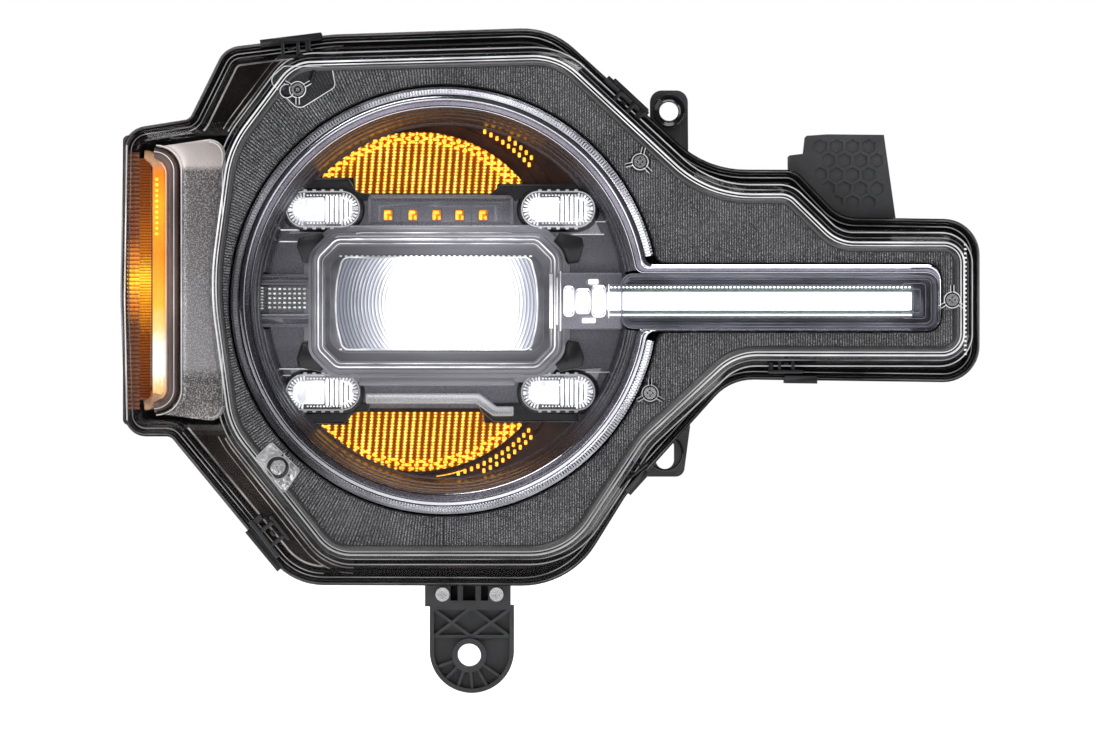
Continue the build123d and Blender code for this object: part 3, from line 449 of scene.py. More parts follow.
# Materials ------------
class Nodes:
    """Node tree of one material, with short calls for what repeats."""

    def __init__(self, name):
        self.material = bpy.data.materials.new(name)
        self.material.use_nodes = True
        self.tree = self.material.node_tree
        self.tree.nodes.clear()
        self.surface = self.tree.nodes.new("ShaderNodeOutputMaterial").inputs["Surface"]
        self.coordinates = self.tree.nodes.new("ShaderNodeTexCoord").outputs
        self.place = self.coordinates["Object"]

    def node(self, kind, inputs, output=0, **settings):
        """One output of a new node; inputs hold sockets to link and values to set."""
        node = self.tree.nodes.new("ShaderNode" + kind)
        for key, value in settings.items():
            setattr(node, key, value)
        for key, value in inputs.items():
            socket = node.inputs[key]
            if isinstance(value, bpy.types.NodeSocket):
                self.tree.links.new(value, socket)
            else:
                socket.default_value = (*value, 1.0) if socket.type == "RGBA" else value
        return node.outputs[output]

    def noise(self, size, detail=2.0, stretch=(1, 1, 1), rough=0.5):
        """Noise whose features are about size millimetres across."""
        scale = [s / (size * MM) for s in stretch]
        place = self.node("Mapping", {"Vector": self.place, "Scale": scale})
        inputs = {"Vector": place, "Scale": 1.0, "Detail": detail, "Roughness": rough}
        return self.node("TexNoise", inputs, "Fac")

    def stops(self, factor, *stops):
        """Colour from a factor through stops of position and colour."""
        shade = self.node("ValToRGB", {"Fac": factor}, "Color")
        elements = shade.node.color_ramp.elements
        while len(elements) < len(stops):
            elements.new(0.5)
        for element, (position, colour) in zip(elements, stops):
            element.position = position
            element.color = (*colour, 1.0)
        return shade

    def scaled(self, factor, low, high, from_low=0.3, from_high=0.7):
        """Factor stretched from one range to another and clamped; noise lies mostly in the default."""
        return self.node("MapRange", {
            "Value": factor, "From Min": from_low, "From Max": from_high, "To Min": low, "To Max": high,
        }, "Result")

    def maths(self, kind, *values):
        return self.node("Math", dict(enumerate(values)), operation=kind)

    def uneven(self, value, noise, amount):
        """Value that noise moves up and down."""
        return self.maths("ADD", value, self.maths("MULTIPLY", self.maths("SUBTRACT", noise, 0.5), amount))

    def mixed(self, factor, a, b, kind="MIX"):
        return self.node("Mix", {0: factor, 6: a, 7: b}, 2, data_type="RGBA", blend_type=kind)

    def distance(self, centre, squash=(1.0, 1.0, 1.0)):
        """Millimetres from a point, with each axis weighed."""
        away = self.node("VectorMath", {0: self.place, 1: at(*centre)}, operation="SUBTRACT")
        away = self.node("VectorMath", {0: away, 1: squash}, operation="MULTIPLY")
        return self.maths("MULTIPLY", self.node("VectorMath", {0: away}, "Value", operation="LENGTH"), 1 / MM)

    def bump(self, height, distance):
        return self.node("Bump", {"Height": height, "Distance": distance * MM}, "Normal")

    def shader(self, **inputs):
        return self.node("BsdfPrincipled", {key.replace("_", " "): value for key, value in inputs.items()})

    def done(self, shader):
        self.tree.links.new(shader, self.surface)
        return self.material


def times(colour, factor):
    return tuple(min(c * factor, 1.0) for c in colour)


def plain(
    name, colour, rough, metal=0.0, spread=0.2, patch=9.0, grain=0.6, depth=0.02, swing=0.06, painted_shade=None,
    **extra
):
    """Moulded or metal surface: cloudy colour, uneven gloss and a fine grain; an optional painted shade
    darkens it near a point.
    """
    n = Nodes(name)
    cloud, fine = n.noise(patch, 3.0), n.noise(grain, 3.0)
    base = n.stops(cloud, (0.3, times(colour, 1 - spread)), (0.7, times(colour, 1 + spread)))
    # Painted shade: the colour falls to share of itself near the centre and is whole again by far
    if painted_shade:
        centre, squash, share, near, far = painted_shade
        away = n.scaled(n.distance(centre, squash), 0.0, 1.0, near, far)
        base = n.mixed(1.0, base, n.stops(away, (0.0, (share,) * 3), (1.0, (1.0,) * 3)), "MULTIPLY")
    return n.done(n.shader(
        Base_Color=base, Roughness=n.scaled(fine, max(rough - swing, 0.02), rough + swing), Metallic=metal,
        Normal=n.bump(fine, depth), **extra,
    ))


def speckled(name, colour, fleck, rough, amount=0.62, size=0.35, metal=0.0):
    """Dark grained plastic with small bright flecks and broad patches that are partly random tone and partly
    painted sheen.
    """
    n = Nodes(name)
    # The broad cloud is partly random tone and partly painted sheen, patches of gloss that seem to catch the
    # light
    cloud, fine = n.noise(24.0), n.noise(size, rough=0.7)
    base = n.stops(cloud, (0.3, times(colour, 0.35)), (0.7, times(colour, 1.6)))
    spots = n.scaled(fine, 0.0, 1.0, amount - 0.06, amount + 0.06)
    return n.done(n.shader(
        Base_Color=n.mixed(spots, base, fleck), Roughness=n.scaled(fine, rough + 0.1, rough - 0.1, 0.3, 0.75),
        Metallic=metal, Normal=n.bump(fine, 0.03),
    ))


def lit(name, colour, rough, glow, metal=0.3, reach=112.0, warm=None):
    """Inner plastic with a painted glow for the projector's light, more of it close by; warm tints its colour
    and painted glow at its top and foot.
    """
    n = Nodes(name)
    cloud, fine = n.noise(26.0, stretch=(0.2, 1, 1.4)), n.noise(0.7, 3.0)
    near = n.scaled(n.distance((0, -30, -2)), 1.0, 0.12, 25.0, reach)
    base = n.stops(cloud, (0.3, times(colour, 0.75)), (0.7, times(colour, 1.3)))
    light = colour
    if warm:
        height = n.distance((0, 0, 0), (0.0, 0.0, 1.0))
        base = light = n.mixed(n.scaled(height, 0.0, 1.0, 58.0, 92.0), base, warm)
    # Painted glow: emission stands in for the projector's light falling on the plastic, uneven with the cloud
    strength = n.maths("MULTIPLY", n.maths("MULTIPLY", near, n.scaled(cloud, 0.55, 1.35)), glow)
    return n.done(n.shader(
        Base_Color=base, Roughness=n.scaled(fine, rough - 0.07, rough + 0.07), Metallic=metal,
        Normal=n.bump(fine, 0.02), Emission_Color=light, Emission_Strength=strength,
    ))


def clear(name, tint, gloss, haze, body=0.0):
    """Thin clear plastic: see-through, with a mirror film that grows at grazing angles."""
    n = Nodes(name)
    tinted = n.stops(n.noise(30.0), (0.3, times(tint, 0.97)), (0.7, tint))
    film = n.shader(
        Base_Color=haze, Roughness=n.scaled(n.noise(1.4, 3.0), 0.021, 0.042), IOR=1.5, Specular_IOR_Level=0.5,
        Normal=n.bump(n.noise(40.0, 1.0), 0.02),
    )
    facing = n.node("LayerWeight", {}, "Facing")
    share = n.maths("MULTIPLY_ADD", n.maths("POWER", facing, 6.0), gloss, body + 0.014 * gloss)
    return n.done(n.node("MixShader", {0: share, 1: n.node("BsdfTransparent", {"Color": tinted}), 2: film}))


def glowing(name, low, high, strength, size=2.0, stretch=(1, 1, 1)):
    """Lit plastic: its glow runs unevenly between two colours."""
    n = Nodes(name)
    uneven = n.noise(size, 3.0, stretch)
    colour = n.stops(uneven, (0.35, low), (0.65, high))
    return n.done(n.shader(
        Base_Color=n.mixed(0.5, colour, high), Roughness=n.scaled(uneven, 0.17, 0.33), Emission_Color=colour,
        Emission_Strength=strength,
    ))


# Painted shade where the photograph's rings and lines are duller: centre, squash, share left, near, far
FAR_SIDE_SHADE = ((-112.0, -54.0, -38.0), (1, 1, 1), 0.30, 50.0, 150.0)
RIB_SIDE_SHADE = ((-112.0, -54.0, -38.0), (1, 1, 1), 0.10, 60.0, 225.0)
UNDERSIDE_SHADE = ((60.0, -60.0, -160.0), (0.25, 1, 1), 0.3, 85.0, 160.0)

GLOSS_BLACK = plain("gloss black", (0.012, 0.012, 0.013), 0.09, patch=30, grain=2.0, depth=0.006, swing=0.03)
RIM_BLACK = plain("rim black", (0.010, 0.010, 0.011), 0.14, patch=30, grain=1.2, depth=0.01, swing=0.05)
DEEP_BLACK = plain("deep black", (0.02, 0.02, 0.022), 0.32, patch=18, grain=0.8)
HOUSING = plain("black housing", (0.016, 0.016, 0.017), 0.34, patch=22, grain=0.5, depth=0.03, swing=0.1)
BRACKET = plain("black bracket", (0.035, 0.036, 0.038), 0.5, patch=12, grain=0.45, depth=0.05, swing=0.1)
CLIP = plain("black clip", (0.02, 0.02, 0.022), 0.2, grain=0.8, depth=0.01)
RUBBER = plain("seal rubber", (0.02, 0.02, 0.02), 0.75, grain=0.4, depth=0.03)
CHARCOAL = speckled("charcoal bezel", (0.012, 0.012, 0.013), (0.22, 0.22, 0.23), 0.42)
# Painted highlight: the ribs are lighter than the bezel's flat, as if their crests caught the light; the
# flecks are grain
RIBS = speckled("bezel ribs", (0.055, 0.055, 0.058), (0.92, 0.92, 0.94), 0.3, amount=0.57, size=0.55)
# Painted highlight: the bezel's eased edge band is lighter than its flat
BAND = plain("bezel band", (0.075, 0.072, 0.072), 0.24, patch=40, metal=0.3)
COLLAR = plain("bezel collar", (0.016, 0.016, 0.018), 0.3, patch=30)
CHROME = plain(
    "bright trim", (0.80, 0.80, 0.85), 0.08, metal=1.0, spread=0.05, patch=30, grain=3, depth=0.01,
    swing=0.04, painted_shade=FAR_SIDE_SHADE,
)
RING_RIBS = plain(
    "ribbed silver", (0.50, 0.50, 0.54), 0.22, metal=1.0, spread=0.3, patch=16, grain=0.8, painted_shade=RIB_SIDE_SHADE
)
VIOLET = plain("violet grey band", (0.27, 0.25, 0.30), 0.25, metal=0.8, patch=20, grain=1.0, painted_shade=FAR_SIDE_SHADE)
# Painted highlight: light, faintly glowing lines that stand in for reflections along edges, patchy along
# their length and dimmed by painted shade towards the underside
EDGE_HIGHLIGHT = plain(
    "painted edge highlight", (0.85, 0.85, 0.87), 0.1, spread=0.5, patch=24, grain=1.0, swing=0.05, painted_shade=UNDERSIDE_SHADE,
    Emission_Color=(1.0, 1.0, 1.0), Emission_Strength=0.20,
)
CHANNEL = plain("channel grey", (0.15, 0.148, 0.18), 0.2, metal=0.4, spread=0.4, patch=40, grain=0.8)
# Painted glints: lines that glow unevenly from near black to white where edges would catch the lamps
SPARK = glowing("painted edge glint", (0.10, 0.10, 0.11), (1.0, 1.0, 1.0), 0.75, size=22)
# Painted highlight: grey lines, strongly patchy, that stand in for dimmer reflections along edges and ridges
DIM_EDGE_HIGHLIGHT = plain("dim painted edge highlight", (0.22, 0.22, 0.23), 0.12, spread=0.85, patch=30, grain=1.0, swing=0.05)
SILVER = speckled(
    "satin silver", (0.20, 0.20, 0.215), (0.5, 0.5, 0.53), 0.34, amount=0.6, size=0.4, metal=0.55
)
WORN_SILVER = speckled(
    "worn silver", (0.34, 0.34, 0.35), (0.95, 0.95, 0.95), 0.25, amount=0.52, size=1.6, metal=0.5
)
STEEL = plain("screw steel", (0.55, 0.55, 0.56), 0.25, metal=1.0, spread=0.12, patch=4, grain=0.3)
DARK_STEEL = plain("dark steel", (0.2, 0.2, 0.21), 0.35, metal=1.0, patch=6, grain=0.4)
DIE_CAST = plain("die cast", (0.42, 0.42, 0.43), 0.5, metal=0.9, patch=12, grain=0.5, depth=0.06)
NYLON = plain("white nylon", (0.72, 0.70, 0.64), 0.45, spread=0.06, patch=10, grain=0.7)
REFLECTOR = plain("aluminised reflector", (0.8, 0.8, 0.82), 0.1, metal=1.0, spread=0.05, patch=20, grain=1.5)
BOARD = plain("circuit board", (0.02, 0.10, 0.045), 0.4, patch=3.0, spread=0.3, grain=0.5)
BROWN = plain("turn signal cup", (0.055, 0.022, 0.012), 0.16, patch=12, grain=1.0, spread=0.4)
SIDE_WALL = plain(
    "brown black wall", (0.095, 0.080, 0.075), 0.14, patch=26, grain=2.5, spread=0.6, depth=0.008
)
# Painted glow from lit(): the projector's light painted as emission on the bowl, deck, shroud, step and lit
# silver
BOWL = lit("bowl wall", (0.040, 0.040, 0.047), 0.27, 0.9, reach=125.0, warm=(0.050, 0.024, 0.015))
DECK = lit("bowl deck", (0.115, 0.113, 0.13), 0.28, 1.25)
SHROUD = lit("projector shroud", (0.15, 0.15, 0.165), 0.18, 1.15)
STEP = lit("shroud step", (0.045, 0.045, 0.05), 0.2, 0.8)
LIT_SILVER = lit("lit silver", (0.34, 0.34, 0.355), 0.25, 0.9, metal=0.5)
LENS_CLEAR = clear("clear lens", (0.985, 0.985, 0.99), 0.7, (0.02, 0.02, 0.02))
LENS_DARK = clear("lens flange", (0.74, 0.72, 0.71), 1.0, (0.012, 0.012, 0.013), body=0.10)
CLEAR_OPTIC = clear("clear optic", (0.93, 0.94, 0.95), 1.6, (0.7, 0.7, 0.72), body=0.10)
SMOKE = clear("smoky frame", (0.40, 0.30, 0.27), 1.2, (0.25, 0.17, 0.15), body=0.30)
WHITE_GLOW = glowing("lit white", (0.80, 0.85, 0.92), (1.0, 1.0, 1.0), 2.2, size=1.2)
SOFT_GLOW = glowing("softly lit", (0.50, 0.51, 0.54), (1.0, 1.0, 1.0), 1.15, size=2.6, stretch=(1, 1, 0.35))
CELL_GLOW = glowing("lit cells", (0.16, 0.20, 0.14), (1.0, 1.0, 0.95), 0.8, size=2.6)
FACET_GLOW = glowing("lit facets", (0.22, 0.22, 0.25), (1.0, 1.0, 1.0), 0.95)
NIGHT_BLUE = plain("blue black edge", (0.02, 0.03, 0.09), 0.12, patch=20, grain=1.0)
AMBER_GLOW = glowing("lit amber", (0.95, 0.28, 0.01), (1.0, 0.55, 0.05), 1.6, size=1.0)
AMBER_DIM = glowing("amber", (0.30, 0.06, 0.0), (0.9, 0.32, 0.01), 0.55, size=1.6)


def along_marker(name, stops, low_z, high_z, strength, pitch=0.0):
    """Amber plastic whose glow changes along its height, with darker gaps between teeth."""
    n = Nodes(name)
    up = n.node("SeparateXYZ", {0: n.place}, 2)
    fine = n.noise(1.2, stretch=(1, 1, 0.3))
    height = n.uneven(n.scaled(up, 0.0, 1.0, at(0, 0, low_z).z, at(0, 0, high_z).z), fine, 0.10)
    glow = n.stops(height, *stops)
    if pitch:
        comb = n.maths("FRACT", n.maths("MULTIPLY", up, 1.0 / (pitch * MM)))
        strength = n.maths("MULTIPLY", n.scaled(comb, 0.2, 1.9, 0.1, 0.9), strength)
    return n.done(n.shader(
        Base_Color=n.mixed(0.6, glow, (0.16, 0.045, 0.01)), Roughness=n.scaled(fine, 0.12, 0.3),
        Emission_Color=glow, Emission_Strength=strength,
    ))


# Lowest and highest z of the marker's pieces, over which their colours change
PIPE_SPAN, FIN_SPAN, FACE_SPAN = (-56, 80), (-52, 77), (-66, 89)
PIPE_GLOW = along_marker("marker pipe glow", (
    (0.0, (0.85, 0.34, 0.06)), (0.08, (1.0, 0.62, 0.30)), (0.12, (1.0, 0.95, 0.88)),
    (0.23, (1.0, 0.90, 0.78)), (0.30, (1.0, 0.62, 0.22)), (0.40, (1.0, 0.44, 0.03)),
    (0.60, (0.90, 0.25, 0.01)), (0.80, (1.0, 0.40, 0.02)), (0.93, (0.75, 0.20, 0.01)),
    (1.0, (0.45, 0.22, 0.12)),
), *PIPE_SPAN, 1.0)
FIN_AMBER = along_marker("marker fins", (
    (0.0, (0.07, 0.014, 0.003)), (0.25, (0.15, 0.036, 0.004)), (0.40, (0.75, 0.27, 0.01)),
    (0.50, (1.0, 0.62, 0.04)), (0.60, (0.42, 0.13, 0.01)), (0.80, (0.17, 0.042, 0.005)),
    (1.0, (0.10, 0.022, 0.004)),
), *FIN_SPAN, 0.75, 1.55)
FIN_DARK = along_marker("marker outer fins", (
    (0.0, (0.035, 0.010, 0.004)), (0.30, (0.05, 0.014, 0.004)), (0.42, (0.60, 0.18, 0.01)),
    (0.49, (1.0, 0.50, 0.02)), (0.56, (0.60, 0.18, 0.01)), (0.68, (0.10, 0.022, 0.004)),
    (1.0, (0.03, 0.009, 0.004)),
), *FIN_SPAN, 1.1, 2.36)
SHOULDER = plain("amber lit shoulder", (0.55, 0.30, 0.16), 0.18, patch=14, grain=1.0, spread=0.4)
SMOKE_TUBE = plain("smoky tube", (0.13, 0.085, 0.072), 0.16, patch=30, grain=1.0, spread=0.35, swing=0.05)


def pod_silver_material(low_z, high_z):
    """Satin face, coloured by height: light at the top as a painted highlight, speckled grey lower, dark at
    the foot.
    """
    n = Nodes("marker silver")
    up = n.node("SeparateXYZ", {0: n.place}, 2)
    fine = n.noise(0.85, 3.0, rough=0.75)
    height = n.uneven(n.scaled(up, 0.0, 1.0, at(0, 0, low_z).z, at(0, 0, high_z).z), fine, 0.03)
    # Colour by height: the pale band near the top is a painted highlight on the upward facet
    base = n.stops(
        height, (0.0, (0.13, 0.11, 0.10)), (0.15, (0.09, 0.08, 0.075)), (0.19, (0.33, 0.315, 0.32)),
        (0.34, (0.27, 0.255, 0.26)), (0.62, (0.16, 0.145, 0.145)), (0.885, (0.12, 0.10, 0.095)),
        (0.905, (0.78, 0.68, 0.63)), (1.0, (0.60, 0.52, 0.48)),
    )
    spots = n.scaled(fine, 0.0, 0.75, 0.50, 0.60)
    return n.done(n.shader(
        Base_Color=n.mixed(spots, base, (0.68, 0.66, 0.66)), Roughness=n.scaled(fine, 0.4, 0.25),
        Metallic=0.45, Normal=n.bump(fine, 0.04),
    ))


POD_SILVER = pod_silver_material(*FACE_SPAN)
NODE_FINISH = {
    "black_housing": HOUSING, "clear_lens": LENS_CLEAR, "seal_rubber": RUBBER, "black_clip": CLIP,
    "charcoal_bezel": CHARCOAL, "screw_steel": STEEL, "bright_trim": CHROME, "gloss_black": GLOSS_BLACK,
    "amber_lens": AMBER_DIM, "reflector": REFLECTOR, "clear_optic": CLEAR_OPTIC, "circuit_board": BOARD,
    "satin_silver": SILVER, "smoke": SMOKE, "die_cast": DIE_CAST, "black_bracket": BRACKET, "nylon": NYLON,
    "dark_steel": DARK_STEEL,
}
NODE_SLOTS = {part["node"]: part["material_slot"] for part in frame["record"]["subparts"]}
for cad_node, cad_slot in NODE_SLOTS.items():
    cad_materials = frame["nodes"][cad_node].data.materials
    cad_materials.clear()
    cad_materials.append(NODE_FINISH[cad_slot])


# Outer shell ------------
def lens_region(polygon):
    """Dark for the flange, clear for the face and for the marker's flank."""
    x, y, z = polygon.center
    flank = x < at(-160.0, 0, 0).x and at(0, 0, -62.0).z < z < at(0, 0, 86.0).z
    return 1 if y > -39.0 * MM and not flank else 0


softened("front_lens", "lens_shell", LENS_CLEAR, 1.6, "clear_lens", more=(LENS_DARK,), choose=lens_region)

# Painted highlights: bright lines along the lens's edges and ticks at the arm's end, standing in for
# reflections on them
edges = Shape()
edges.beads(FACE, (-0.9, -61.3, 0.5), (-2.6, -60.9, 0.3), (5.0, -39.6, 0.35))
edges.tiles(285.0, -30.0, 1.5, 1.0, (-61.2, -60.2), rows=(26, 2.4))
edges.piece("lens_edge_highlights", EDGE_HIGHLIGHT, "clear_lens")

# Painted highlights: dim lines along the flange and just outside the face
lines = Shape()
lines.beads(SILHOUETTE, (-1.2, -37.4, 0.38), (-4.6, -38.3, 0.3))
lines.beads(FACE, (1.8, -52.0, 0.25))
lines.piece("flange_highlight_lines", DIM_EDGE_HIGHLIGHT, "clear_lens")

rim = Shape()
rim.outline(SILHOUETTE, [
    (-2.8, -31.0), (-2.8, -35.0), (-3.6, -35.3), (-4.6, -34.3), (-5.6, -35.3), (-6.8, -34.4), (-8.2, -35.2),
    (-9.4, -34.6),
])
rim.outline(FACE, [
    (4.6, -34.4), (4.2, -37.0), (2.6, -39.0), (2.0, -43.0), (0.9, -44.0), (0.2, -48.0), (-1.0, -49.0),
    (-1.9, -52.0),
])
rim.trim(lambda x, y, z: x > -170.0 or not -60.0 < z < 82.0)
rim.piece("rim_band", RIM_BLACK, "gloss_black")

POD_HOLE = rounded(rectangle(-178.0, -118.5, -68.5, 91.5, 3.0))
WALL_OUTER, WALL_INNER = rounded(SILHOUETTE, -4.8), rounded(FACE, 4.4)
wall = Shape()
wall.plate(WALL_OUTER, [WALL_INNER, POD_HOLE], WALL_Y, WALL_Y + 1.0)
sheet_faces = len(wall.faces)
for k in range(12):
    wall.lathe(0, 0, round_section(132.0 + 5.0 * k, WALL_Y, 0.3), 240, closed=True)
wall.trim(
    lambda x, y, z: x < -60 and inside(WALL_OUTER, x, z) and not inside(WALL_INNER, x, z)
    and not inside(POD_HOLE, x, z), sheet_faces
)
wall.piece("side_wall", SIDE_WALL, "gloss_black", smooth=20)
# Painted highlights: broken glints along the side wall at the top and foot of its outboard part
streaks = Shape()
streaks.beads(SILHOUETTE, (-6.4, WALL_Y - 0.1, 0.35), (-10.5, WALL_Y - 0.1, 0.5))
streaks.beads(FACE, (7.0, WALL_Y - 0.1, 0.4), (10.0, WALL_Y - 0.1, 0.25))
streaks.trim(lambda x, y, z: x < -44.0 and (z < -76.0 or z > 94.0))
streaks.piece("wall_highlight_streaks", SPARK, "gloss_black")

# Bezel ------------
bezel = Shape()
bezel.outline(FACE, [
    (-2.1, -22.0), (-2.1, -51.6), (-2.4, BEZEL_Y), (-3.2, -54.3), (-4.3, -54.7), (-5.4, -54.4), (-6.2, -53.4),
])
bezel.mark = 1
BEZEL_LOOPS = [rounded(FACE, -6.0), mouth(2.14)]
bezel.plate(BEZEL_LOOPS[0], BEZEL_LOOPS[1:], BEZEL_Y, -51.8)
bezel.mark = 2
bezel.follow([(2.14, BEZEL_Y), (2.12, -53.8), (2.08, -54.2), (2.05, -55.6), (2.02, RING_FOOT_Y)])
bezel.piece("bezel_face", BAND, "charcoal_bezel", ("bezel",), more=(CHARCOAL, COLLAR))

# Ribs: rays on the outboard half, upright lines inboard, with room round the bosses
RAY_STEP = 0.72       # degrees
LINE_PITCH = 1.35
hatch = Shape()
hatch_loops = BEZEL_LOOPS + [circle(x, z, 6.0, 40) for x, z, _ in BOSSES[:4]]
ray = 90.0
while ray < 270.0:
    way = (math.cos(math.radians(ray)), math.sin(math.radians(ray)))
    for a, b in crossings(hatch_loops, (0.0, 0.0), way):
        if a[0] * way[0] + a[1] * way[1] > 0:
            hatch.rib(a, b, BEZEL_Y, 0.75, 0.95)
    ray += RAY_STEP
across = 0.6
while across < 280.0:
    for a, b in crossings(hatch_loops, (across, 0.0), (0.0, 1.0)):
        hatch.rib(a, b, BEZEL_Y, 0.6, 0.8)
    across += LINE_PITCH
hatch.piece("bezel_ribs", RIBS, "charcoal_bezel", smooth=20)

# Rings ------------
ring = Shape()
RIB_COUNT = 440
RIB_DEPTH = 0.45
ring_loops = []
for r, y, ribbed in (
    (113.1, RING_FOOT_Y, 0), (113.1, -55.6, 0), (113.8, -56.2, 1), (116.0, -56.3, 1), (117.3, -55.6, 1),
    (117.7, -54.0, 0), (117.7, -49.4, 0),
):
    places = circle(0, 0, r, 2 * RIB_COUNT)
    ring_loops.append([(x, y + RIB_DEPTH * ribbed * (k % 2), z) for k, (x, z) in enumerate(places)])
ring.loft(ring_loops)
ring.trim(lambda x, y, z: not (x > 60 and -22.0 < z < 24.5))
ring.piece("ring_ribs", RING_RIBS, "bright_trim", ("ribbed_ring",), smooth=20)

chrome = Shape()
chrome.runs(
    chrome.follow,
    (0, [(1.0, RING_FOOT_Y), (1.0, -54.6), (0.93, -55.6), (0.78, -56.0), (0.60, -55.8), (0.50, -55.0)]),
    (1, [(0.46, -54.4), (0.30, -53.9), (0.16, -53.6)]),
    (2, [(0.13, -53.0), (0.10, -53.0)]),
    (0, [(0.07, -53.6), (0.02, -53.5), (0.0, -52.8), (0.0, RING_FOOT_Y)]),
)
chrome.piece("chrome_ring", CHROME, "bright_trim", ("chrome_trim",), more=(VIOLET, DEEP_BLACK))

# Bowl ------------
# Turn signal windows: centre x, centre z, radius, up or down, and the straight side's z outboard
# of an x, between, and inboard of another x
CRESCENTS = {
    "upper": (-15.7, 17.7, 76.0, 1, (68.5, -50.0, 59.7, 28.0, 65.0)),
    "lower": (-16.0, -13.7, 80.6, -1, (-68.6, -53.5, -61.5, 21.0, -67.5)),
}
DECK_RADIUS = 98.0
LEAST = 0.4           # least height of a window


def crescent_limits(side, x):
    """Lowest and highest z of a turn signal window at x, or None outside it."""
    cx, cz, radius, up, (outboard, left, middle, right, inboard) = CRESCENTS[side]
    if abs(x - cx) >= radius:
        return None
    crown = cz + up * math.sqrt(radius ** 2 - (x - cx) ** 2)
    rim = up * math.sqrt(max((DECK_RADIUS - 0.6) ** 2 - x ** 2, 0.0))
    base = outboard if x < left else inboard if x > right else middle
    low, high = (base, min(crown, rim)) if up > 0 else (max(crown, rim), base)
    return (low, high) if high - low > LEAST else None


def crescent_outline(side, shrink):
    """Outline of a turn signal window, smaller by shrink at its top and foot."""
    top, bottom = [], []
    for x in range(-95, 70):
        limits = crescent_limits(side, x)
        if limits and limits[1] - limits[0] > 2 * shrink + LEAST:
            bottom.append((x, limits[0] + shrink))
            top.append((x, limits[1] - shrink))
    return top + bottom[::-1]


def crescent_arc(side, radius, start, stop, count, numbers=None):
    """Points on an arc about a window's centre, in degrees that run from inboard over its crown."""
    cx, cz, _, up, _ = CRESCENTS[side]
    return arc(cx, cz, radius, up * math.radians(start), up * math.radians(stop), count, numbers)


PROJECTOR_HOLE = [
    (-66.5, 22.5), (-58.5, 30.5), (49.5, 30.5), (57.5, 22.5), (57.5, -25.5), (49.5, -33.5), (-58.5, -33.5),
    (-66.5, -25.5),
]
bowl = Shape()
bowl.lathe(0, 0, [
    (108.0, RING_FOOT_Y), (106.3, -50.9), (105.3, -50.2), (104.9, -46.4), (104.1, -45.9), (103.4, -41.6),
    (102.6, -41.1), (101.6, -35.0), (100.8, -34.5), (99.0, -25.0), (98.2, -24.6), (DECK_RADIUS, DECK_Y),
], count=240)
bowl.trim(lambda x, y, z: not (x > 60 and -16.2 < z < 15.6 and y < -33.0)
          and not (x < -60 and -14.8 < z < 15.2 and y > -38.0))
bowl.mark = 1
bowl_holes = [crescent_outline(side, 1.0) for side in CRESCENTS] + [PROJECTOR_HOLE]
bowl.plate(circle(0, 0, DECK_RADIUS + 0.2, 240), bowl_holes, DECK_Y, DECK_Y + 2.5)
bowl.piece("bowl_skin", BOWL, "gloss_black", ("inner_bowl",), more=(DECK,))

# Tinted cups round the turn signals, stepped towards the rim
cups = Shape()
for side in CRESCENTS:
    up = CRESCENTS[side][3]
    outer = sorted(((x, z) for x, z in circle(0, 0, 97.6, 240) if z * up > 57.8), key=lambda p: p[0])
    cups.plate(outer[::up], [crescent_outline(side, 0.4)], DECK_Y - 1.2, DECK_Y - 0.2)
    for radius in (82.0, 88.5):
        line = [
            (x, DECK_Y - 1.5, z) for x, z in crescent_arc(side, radius, 18, 162, 69)
            if math.hypot(x, z) < 97.0 and z * up > 60.5
        ]
        if line:
            cups.tube(line, 0.55, 6)
cups.piece("turn_signal_cups", BROWN, "gloss_black")

glints = Shape()
for side in CRESCENTS:
    up = CRESCENTS[side][3]
    line = [
        (x, DECK_Y - 2.0, z) for x, z in crescent_arc(side, 84.2, 72, 110, 40) if math.hypot(x, z) < 97.3
    ]
    if line:
        glints.tube(line, 0.3, 6)
    for radius, first in ((85.0, 43.0), (88.6, 44.3)):
        for x, z in crescent_arc(side, radius, first, first + 31.2, 12):
            if math.hypot(x, z) < 96.8 and z * up > 62:
                glints.bar(x - 0.85, x + 0.85, z - 1.3, z + 1.3, DECK_Y - 2.6, DECK_Y - 1.0, 0.35, 0.6)
glints.piece("turn_signal_glints", AMBER_GLOW, "amber_lens")

# Turn signals: fanned flutes with a checkered rim ------------
FLUTE = 3.9           # width of a flute
TOOTH = 1.7           # height of the flutes' teeth
LEAN = 0.085          # how far a flute leans inboard for its height
FLUTE_CUTS, FLUTE_ROWS = 8, 30
FLUTES_LEFT, FLUTES_RIGHT = -84.0, 70.0
FLUTE_Y, FLUTE_RISE, TOOTH_RISE = -23.0, 1.6, 0.25


